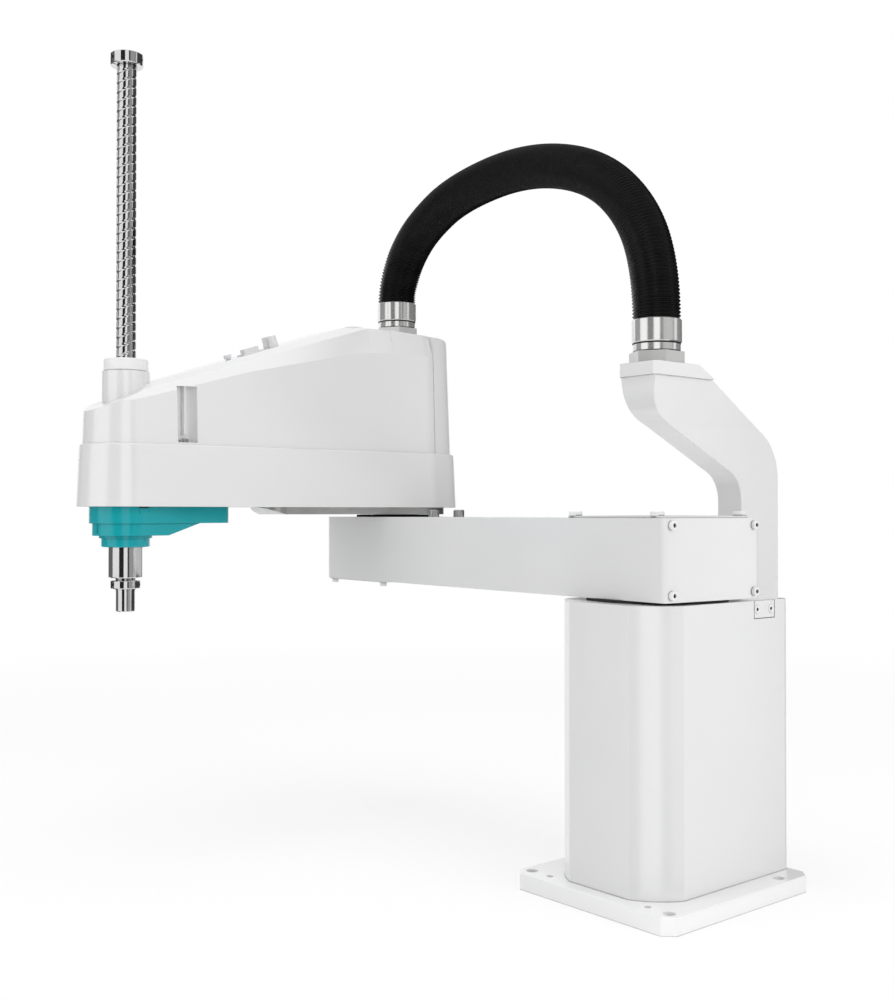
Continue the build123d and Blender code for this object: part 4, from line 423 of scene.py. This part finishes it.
class Finish:
    """A principled shader on a named material, with the nodes that feed it."""

    def __init__(self, slot, **constants):
        self.material = bpy.data.materials[slot]
        self.material.use_nodes = True
        self.tree = self.material.node_tree
        self.tree.nodes.clear()
        self.shader = self.node("ShaderNodeBsdfPrincipled", **constants)
        output = self.node("ShaderNodeOutputMaterial")
        self.link(self.shader.outputs["BSDF"], output.inputs["Surface"])
        self.place = self.node("ShaderNodeTexCoord").outputs["Object"]

    def node(self, kind, **values):
        made = self.tree.nodes.new(kind)
        for name, value in values.items():
            made.inputs[name.replace("_", " ")].default_value = value
        return made

    def link(self, start, end):
        self.tree.links.new(start, end)

    def stretched(self, scale):
        """The place on the piece with each axis scaled, for grain that runs one way."""
        mapping = self.node("ShaderNodeMapping", Scale=scale)
        self.link(self.place, mapping.inputs["Vector"])
        return mapping.outputs["Vector"]

    def noise(self, scale, detail=3.0, stretch=(1, 1, 1)):
        found = self.node("ShaderNodeTexNoise", Scale=scale, Detail=detail)
        self.link(self.stretched(stretch), found.inputs["Vector"])
        return found.outputs["Fac"]

    def ranged(self, value, low, high, start=0.35, end=0.65):
        """A noise value brought into a range."""
        found = self.node("ShaderNodeMapRange", From_Min=start, From_Max=end, To_Min=low, To_Max=high)
        self.link(value, found.inputs["Value"])
        return found.outputs["Result"]

    def mottle(self, dark, light, value):
        """A base colour that drifts between two near shades."""
        ramp = self.tree.nodes.new("ShaderNodeValToRGB")
        ramp.color_ramp.elements[0].position = MOTTLE_DARK
        ramp.color_ramp.elements[0].color = (*dark, 1)
        ramp.color_ramp.elements[1].position = MOTTLE_LIGHT
        ramp.color_ramp.elements[1].color = (*light, 1)
        self.link(value, ramp.inputs["Fac"])
        self.link(ramp.outputs["Color"], self.shader.inputs["Base Color"])

    def roughness(self, low, high, value):
        self.link(self.ranged(value, low, high), self.shader.inputs["Roughness"])

    def relief(self, height, strength, distance, below=None):
        """Bumps on the surface, over others if there are any."""
        bump = self.node("ShaderNodeBump", Strength=strength, Distance=distance)
        self.link(height, bump.inputs["Height"])
        if below is not None:
            self.link(below, bump.inputs["Normal"])
        self.link(bump.outputs["Normal"], self.shader.inputs["Normal"])
        return bump.outputs["Normal"]

    def soft_edges(self, radius, painted_edge_highlight=0.0):
        """Edges broken by a small radius, with a painted highlight: the base colour is lighter by a share
        along them.
        """
        bevel = self.node("ShaderNodeBevel", Radius=radius)
        bevel.samples = BEVEL_SAMPLES
        if painted_edge_highlight:
            alike = self.node("ShaderNodeVectorMath")
            alike.operation = "DOT_PRODUCT"
            self.link(bevel.outputs["Normal"], alike.inputs[0])
            self.link(self.node("ShaderNodeNewGeometry").outputs["Normal"], alike.inputs[1])
            self.scale_colour(self.ranged(alike.outputs["Value"], 1 + painted_edge_highlight, 1.0, ON_EDGE, OFF_EDGE))
        return bevel.outputs["Normal"]

    def scale_colour(self, share):
        """Scales the base colour that is there so far."""
        colour = self.shader.inputs["Base Color"].links[0].from_socket
        scaled = self.node("ShaderNodeVectorMath")
        scaled.operation = "SCALE"
        self.link(colour, scaled.inputs[0])
        self.link(share, scaled.inputs["Scale"])
        self.link(scaled.outputs["Vector"], self.shader.inputs["Base Color"])

    def paint_shade_in_gaps(self, distance, darkest, closed_to=0.42, open_from=0.66):
        """Painted shade: darkens the base colour in seams, sockets and along the feet of pieces, where
        shade falls.
        """
        cavity = self.node("ShaderNodeAmbientOcclusion", Distance=distance)
        cavity.samples = GAP_SAMPLES
        self.scale_colour(self.ranged(cavity.outputs["AO"], darkest, 1.0, closed_to, open_from))


def powder_coat():
    """White powder coat on the castings: fine orange peel."""
    paint = Finish("white_paint", IOR=1.95)
    paint.mottle((0.745, 0.745, 0.748), (0.757, 0.757, 0.759), paint.noise(scale=9, detail=4))
    paint.roughness(0.19, 0.22, paint.noise(scale=20, detail=2))
    edges = paint.soft_edges(PAINT_EDGE, painted_edge_highlight=0.18)
    paint.relief(paint.noise(scale=GRAIN, detail=2), strength=0.02, distance=0.01 * MM, below=edges)
    paint.paint_shade_in_gaps(3 * MM, darkest=0.10)


def plate_paint():
    """The base plate's coat, a shade lighter than the castings': partly its own lighter tone, partly
    painted light that lifts the plate's top where the arms shade it.
    """
    bpy.data.materials.new("plate_paint")
    paint = Finish("plate_paint", IOR=1.95)
    paint.mottle((0.885, 0.885, 0.888), (0.895, 0.895, 0.897), paint.noise(scale=9, detail=4))
    paint.roughness(0.19, 0.22, paint.noise(scale=20, detail=2))
    edges = paint.soft_edges(PAINT_EDGE, painted_edge_highlight=0.1)
    paint.relief(paint.noise(scale=GRAIN, detail=2), strength=0.02, distance=0.01 * MM, below=edges)
    paint.paint_shade_in_gaps(3 * MM, darkest=0.10)


def cover_paint():
    """Satin paint on moulded covers, smoother than the powder coat."""
    paint = Finish("white_moulding", IOR=2.0)
    paint.mottle((0.745, 0.745, 0.748), (0.757, 0.757, 0.759), paint.noise(scale=7, detail=4))
    paint.roughness(0.17, 0.22, paint.noise(scale=45, detail=3))
    edges = paint.soft_edges(PAINT_EDGE, painted_edge_highlight=0.18)
    waves = paint.relief(paint.noise(scale=22, detail=2), strength=0.02, distance=0.2 * MM, below=edges)
    paint.relief(paint.noise(scale=GRAIN, detail=2), strength=0.02, distance=0.01 * MM, below=waves)


def white_plastic():
    plastic = Finish("white_cap", IOR=1.46)
    plastic.mottle((0.77, 0.77, 0.775), (0.81, 0.81, 0.815), plastic.noise(scale=30, detail=3))
    plastic.roughness(0.32, 0.42, plastic.noise(scale=120, detail=3))
    plastic.relief(plastic.noise(scale=1500, detail=2), strength=0.08, distance=0.03 * MM)
    # Painted shade: the screws' hex sockets and the seams round them go near black
    plastic.paint_shade_in_gaps(2.5 * MM, darkest=0.01, closed_to=0.6, open_from=0.85)


def teal_plastic():
    """Semi-gloss teal moulding with a faint flow of colour."""
    plastic = Finish("teal_moulding", IOR=1.5)
    plastic.mottle((0.0015, 0.335, 0.375), (0.003, 0.350, 0.390), plastic.noise(scale=8, detail=2))
    plastic.roughness(0.16, 0.21, plastic.noise(scale=30, detail=3))
    edges = plastic.soft_edges(MOULDED_EDGE)
    plastic.relief(plastic.noise(scale=1100, detail=2), strength=0.03, distance=0.01 * MM, below=edges)
    plastic.paint_shade_in_gaps(3 * MM, darkest=0.3)


def polished_steel():
    """Ground and polished steel, with turning marks round its upright axes."""
    steel = Finish("polished_steel", Metallic=1.0)
    steel.mottle((0.69, 0.69, 0.69), (0.72, 0.72, 0.72), steel.noise(scale=12, detail=2, stretch=(1, 1, 8)))
    steel.roughness(0.06, 0.10, steel.noise(scale=30, detail=3, stretch=(1, 1, 30)))
    steel.relief(steel.noise(scale=40, detail=2, stretch=(1, 1, 60)), strength=0.02, distance=0.01 * MM)
    # Painted shade and painted dark reflection: darkens the steel in the shaft's grooves and on the
    # collars' faces under the sleeve
    steel.paint_shade_in_gaps(4 * MM, darkest=0.02)


def bright_nickel():
    """Nickel plate on the conduit's nuts and swivel rings, brighter than the steel."""
    bpy.data.materials.new("bright_nickel")
    plate = Finish("bright_nickel", Metallic=0.78)
    plate.mottle((0.84, 0.84, 0.83), (0.88, 0.88, 0.87), plate.noise(scale=14, detail=2))
    plate.roughness(0.15, 0.19, plate.noise(scale=30, detail=3, stretch=(1, 1, 30)))
    plate.relief(plate.noise(scale=40, detail=2, stretch=(1, 1, 60)), strength=0.02, distance=0.01 * MM)
    # Painted shade: a dark line in the gap between each nut and its swivel ring
    plate.paint_shade_in_gaps(3 * MM, darkest=0.02, closed_to=0.5, open_from=0.8)


def satin_nickel():
    """A duller plate on the fittings' hexagonal bases."""
    bpy.data.materials.new("satin_nickel")
    plate = Finish("satin_nickel", Metallic=0.6)
    plate.mottle((0.70, 0.70, 0.695), (0.75, 0.75, 0.745), plate.noise(scale=14, detail=2))
    plate.roughness(0.30, 0.38, plate.noise(scale=60, detail=3))
    edges = plate.soft_edges(PLATED_EDGE)
    plate.relief(plate.noise(scale=900, detail=2), strength=0.04, distance=0.02 * MM, below=edges)
    plate.paint_shade_in_gaps(2 * MM, darkest=0.1)


def machined_aluminium():
    """Machined aluminium castings with fine feed marks and a dull bloom."""
    metal = Finish("cast_aluminium", Metallic=1.0)
    metal.mottle((0.53, 0.53, 0.525), (0.63, 0.63, 0.62), metal.noise(scale=35, detail=5))
    metal.roughness(0.30, 0.42, metal.noise(scale=90, detail=4))
    metal.relief(metal.noise(scale=60, detail=3, stretch=(1, 1, 25)), strength=0.08, distance=0.05 * MM)


def zinc_plate():
    metal = Finish("zinc_screws", Metallic=1.0)
    metal.mottle((0.46, 0.46, 0.47), (0.60, 0.60, 0.60), metal.noise(scale=160, detail=4))
    metal.roughness(0.26, 0.44, metal.noise(scale=220, detail=4))
    metal.relief(metal.noise(scale=700, detail=3), strength=0.10, distance=0.04 * MM)


def conduit_plastic():
    """Black conduit: satin, with faint patches of wear."""
    plastic = Finish("black_conduit", IOR=1.3)
    plastic.mottle((0.0025, 0.0025, 0.0025), (0.005, 0.005, 0.005), plastic.noise(scale=60, detail=5))
    plastic.roughness(0.26, 0.40, plastic.noise(scale=110, detail=4))
    plastic.relief(plastic.noise(scale=900, detail=3), strength=0.12, distance=0.05 * MM)


def rubber():
    seal = Finish("black_rubber", IOR=1.48)
    seal.mottle((0.010, 0.010, 0.011), (0.022, 0.022, 0.023), seal.noise(scale=80, detail=5))
    seal.roughness(0.58, 0.78, seal.noise(scale=150, detail=4))
    seal.relief(seal.noise(scale=1200, detail=3), strength=0.25, distance=0.06 * MM)


def motor_paint():
    paint = Finish("black_motor", IOR=1.5)
    paint.mottle((0.012, 0.012, 0.014), (0.022, 0.022, 0.025), paint.noise(scale=40, detail=4))
    paint.roughness(0.38, 0.52, paint.noise(scale=110, detail=3))
    paint.relief(paint.noise(scale=800, detail=3), strength=0.20, distance=0.05 * MM)


def black_plastic():
    plastic = Finish("black_moulding", IOR=1.46)
    plastic.mottle((0.014, 0.014, 0.015), (0.026, 0.026, 0.028), plastic.noise(scale=50, detail=4))
    plastic.roughness(0.40, 0.56, plastic.noise(scale=130, detail=3))
    plastic.relief(plastic.noise(scale=1400, detail=3), strength=0.18, distance=0.04 * MM)


def button_plastic():
    """The brake button, which the photograph shows pale."""
    plastic = Finish("blue_button", IOR=1.46)
    plastic.mottle((0.66, 0.67, 0.69), (0.72, 0.73, 0.75), plastic.noise(scale=60, detail=4))
    plastic.roughness(0.30, 0.40, plastic.noise(scale=160, detail=3))
    plastic.relief(plastic.noise(scale=1500, detail=2), strength=0.08, distance=0.03 * MM)


FINISHES = (powder_coat, plate_paint, cover_paint, white_plastic, teal_plastic, polished_steel,
            bright_nickel, satin_nickel, machined_aluminium, zinc_plate, conduit_plastic, rubber,
            motor_paint, black_plastic, button_plastic)
for make in FINISHES:
    make()

# Nodes that the photograph shows in another finish than their slot's
OTHER_FINISH = {
    # The base plate's material also carries painted light on its top
    "base_plate": "plate_paint",
    "base_screws": "white_cap",
    "user_connector": "white_moulding",
    "user_air_fittings": "white_moulding",
    "duct_hex_base": "satin_nickel",
    "elbow_hex_base": "satin_nickel",
    "duct_gland_nut": "bright_nickel",
    "duct_swivel": "bright_nickel",
    "elbow_gland_nut": "bright_nickel",
    "elbow_swivel": "bright_nickel",
}
for name, finish in OTHER_FINISH.items():
    bpy.data.objects[name].material_slots[0].material = bpy.data.materials[finish]
conduit().data.materials.append(bpy.data.materials["black_conduit"])
ball_screw().data.materials.append(bpy.data.materials["polished_steel"])
for collar in ("upper_stop_collar", "lower_stop_collar"):
    set_screws(collar)
stop_plate_gasket()
for end in ("duct", "elbow"):
    fitting_painted_shade_ring(end)
housing_details()


# Stage: a white floor that fades into a white background and keeps the shadow, and dark upright
# flags that only reflections see, as the stripes in the polished steel show

STAGE_R = 30.0
SHADOW_R = 0.9
SHADOW_END = 3.0
FLOOR_LIFT = 0.68
FLOOR_GREY = 0.95
FLOOR_SIDES = 96
FLAG_DISTANCE = 1.6
FLAG_LOW = -1.6
FLAG_HIGH = 3.0
FLAG_STEPS = 8
FULL_TURN = 360
# Where each flag starts and ends, in degrees round from the camera, and its grey
FLAGS = [(-126, -83, 0.16), (-42, -12, 0.025), (15, 28, 0.06), (28, 68, 0.38), (68, 76, 0.2),
         (76, 90, 0.75), (90, 165, 0.06)]


def seen_directly(tree):
    """One for rays from the camera, a mirror or glass, and nought for the rest."""
    path = tree.nodes.new("ShaderNodeLightPath")
    total = path.outputs["Is Camera Ray"]
    for name in ("Is Glossy Ray", "Is Transmission Ray"):
        both = tree.nodes.new("ShaderNodeMath")
        both.operation = "MAXIMUM"
        tree.links.new(total, both.inputs[0])
        tree.links.new(path.outputs[name], both.inputs[1])
        total = both.outputs[0]
    return total


def floor():
    centre = (cad_box[0] + cad_box[1]) / 2
    points = [(centre.x + STAGE_R * cos(t), centre.y + STAGE_R * sin(t), 0)
              for t in (2 * pi * j / FLOOR_SIDES for j in range(FLOOR_SIDES))]
    piece = new_piece("floor", points, [tuple(range(FLOOR_SIDES))], smooth=False)
    material = bpy.data.materials.new("white_floor")
    material.use_nodes = True
    tree = material.node_tree
    tree.nodes.clear()
    place = tree.nodes.new("ShaderNodeTexCoord")
    away = tree.nodes.new("ShaderNodeVectorMath")
    away.operation = "DISTANCE"
    away.inputs[1].default_value = (centre.x, centre.y, 0)
    fade = tree.nodes.new("ShaderNodeMapRange")
    fade.interpolation_type = "SMOOTHSTEP"
    fade.inputs["From Min"].default_value = SHADOW_R
    fade.inputs["From Max"].default_value = SHADOW_END
    fade.inputs["To Min"].default_value = FLOOR_LIFT
    fade.inputs["To Max"].default_value = 1.0
    share = tree.nodes.new("ShaderNodeMath")
    share.operation = "MULTIPLY"
    matt = tree.nodes.new("ShaderNodeBsdfDiffuse")
    matt.inputs["Color"].default_value = (FLOOR_GREY, FLOOR_GREY, FLOOR_GREY, 1)
    bright = tree.nodes.new("ShaderNodeEmission")
    mix = tree.nodes.new("ShaderNodeMixShader")
    output = tree.nodes.new("ShaderNodeOutputMaterial")
    tree.links.new(place.outputs["Object"], away.inputs[0])
    tree.links.new(away.outputs["Value"], fade.inputs["Value"])
    tree.links.new(fade.outputs["Result"], share.inputs[0])
    tree.links.new(seen_directly(tree), share.inputs[1])
    tree.links.new(share.outputs[0], mix.inputs[0])
    tree.links.new(matt.outputs[0], mix.inputs[1])
    tree.links.new(bright.outputs[0], mix.inputs[2])
    tree.links.new(mix.outputs[0], output.inputs["Surface"])
    piece.data.materials.append(material)
    piece.visible_glossy = False


def flag(start, end, grey):
    """A dark upright card on a circle round the robot, seen by reflections alone."""
    centre = (cad_box[0] + cad_box[1]) / 2
    toward = CAMERA_HEADING + pi
    turns = [toward + radians(start + (end - start) * k / FLAG_STEPS) for k in range(FLAG_STEPS + 1)]
    points = [(centre.x + FLAG_DISTANCE * cos(t), centre.y + FLAG_DISTANCE * sin(t), z)
              for z in (FLAG_LOW, FLAG_HIGH) for t in turns]
    up = len(turns)
    faces = [(k, k + 1, up + k + 1, up + k) for k in range(FLAG_STEPS)]
    piece = new_piece(f"flag_{start + FULL_TURN}", points, faces)
    material = bpy.data.materials.new(piece.name)
    material.use_nodes = True
    material.node_tree.nodes.clear()
    card = material.node_tree.nodes.new("ShaderNodeEmission")
    card.inputs["Color"].default_value = (grey, grey, grey, 1)
    output = material.node_tree.nodes.new("ShaderNodeOutputMaterial")
    material.node_tree.links.new(card.outputs[0], output.inputs["Surface"])
    piece.data.materials.append(material)
    piece.visible_camera = False
    piece.visible_diffuse = False
    piece.visible_shadow = False
    piece.visible_transmission = False


# Each lamp's name, where it hangs, where it points, its width and its power in watts
LAMPS = [("top_lamp", (0.4, -0.2, 3.2), (0.2, -0.3, 0.4), 2.4, 26),
         ("left_lamp", (3.0, -0.9, 0.7), (0.2, -0.3, 0.5), 1.8, 12),
         ("right_lamp", (-0.4, 3.0, 1.5), (0.2, -0.3, 0.5), 1.8, 30)]


def lamp(name, place, aim, size, power):
    """A soft round lamp that reflections don't see."""
    light = bpy.data.lights.new(name, "AREA")
    light.shape = "DISK"
    light.size = size
    light.energy = power
    piece = bpy.data.objects.new(name, light)
    piece.location = place
    piece.rotation_euler = (Vector(aim) - Vector(place)).to_track_quat("-Z", "Y").to_euler()
    piece.visible_glossy = False
    bpy.context.scene.collection.objects.link(piece)


WORLD_LIGHT = 0.735


def world():
    """An even white light, seen as plain white by the camera and by reflections."""
    sky = bpy.data.worlds.new("studio")
    sky.use_nodes = True
    bpy.context.scene.world = sky
    tree = sky.node_tree
    tree.nodes.clear()
    soft = tree.nodes.new("ShaderNodeBackground")
    soft.inputs["Color"].default_value = (1, 1, 1, 1)
    soft.inputs["Strength"].default_value = WORLD_LIGHT
    white = tree.nodes.new("ShaderNodeBackground")
    white.inputs["Color"].default_value = (1, 1, 1, 1)
    mix = tree.nodes.new("ShaderNodeMixShader")
    output = tree.nodes.new("ShaderNodeOutputWorld")
    tree.links.new(seen_directly(tree), mix.inputs[0])
    tree.links.new(soft.outputs[0], mix.inputs[1])
    tree.links.new(white.outputs[0], mix.inputs[2])
    tree.links.new(mix.outputs[0], output.inputs["Surface"])


floor()
for start, end, grey in FLAGS:
    flag(start, end, grey)
world()
for name, place, aim, size, power in LAMPS:
    lamp(name, place, aim, size, power)

bpy.context.scene.view_settings.view_transform = "Standard"
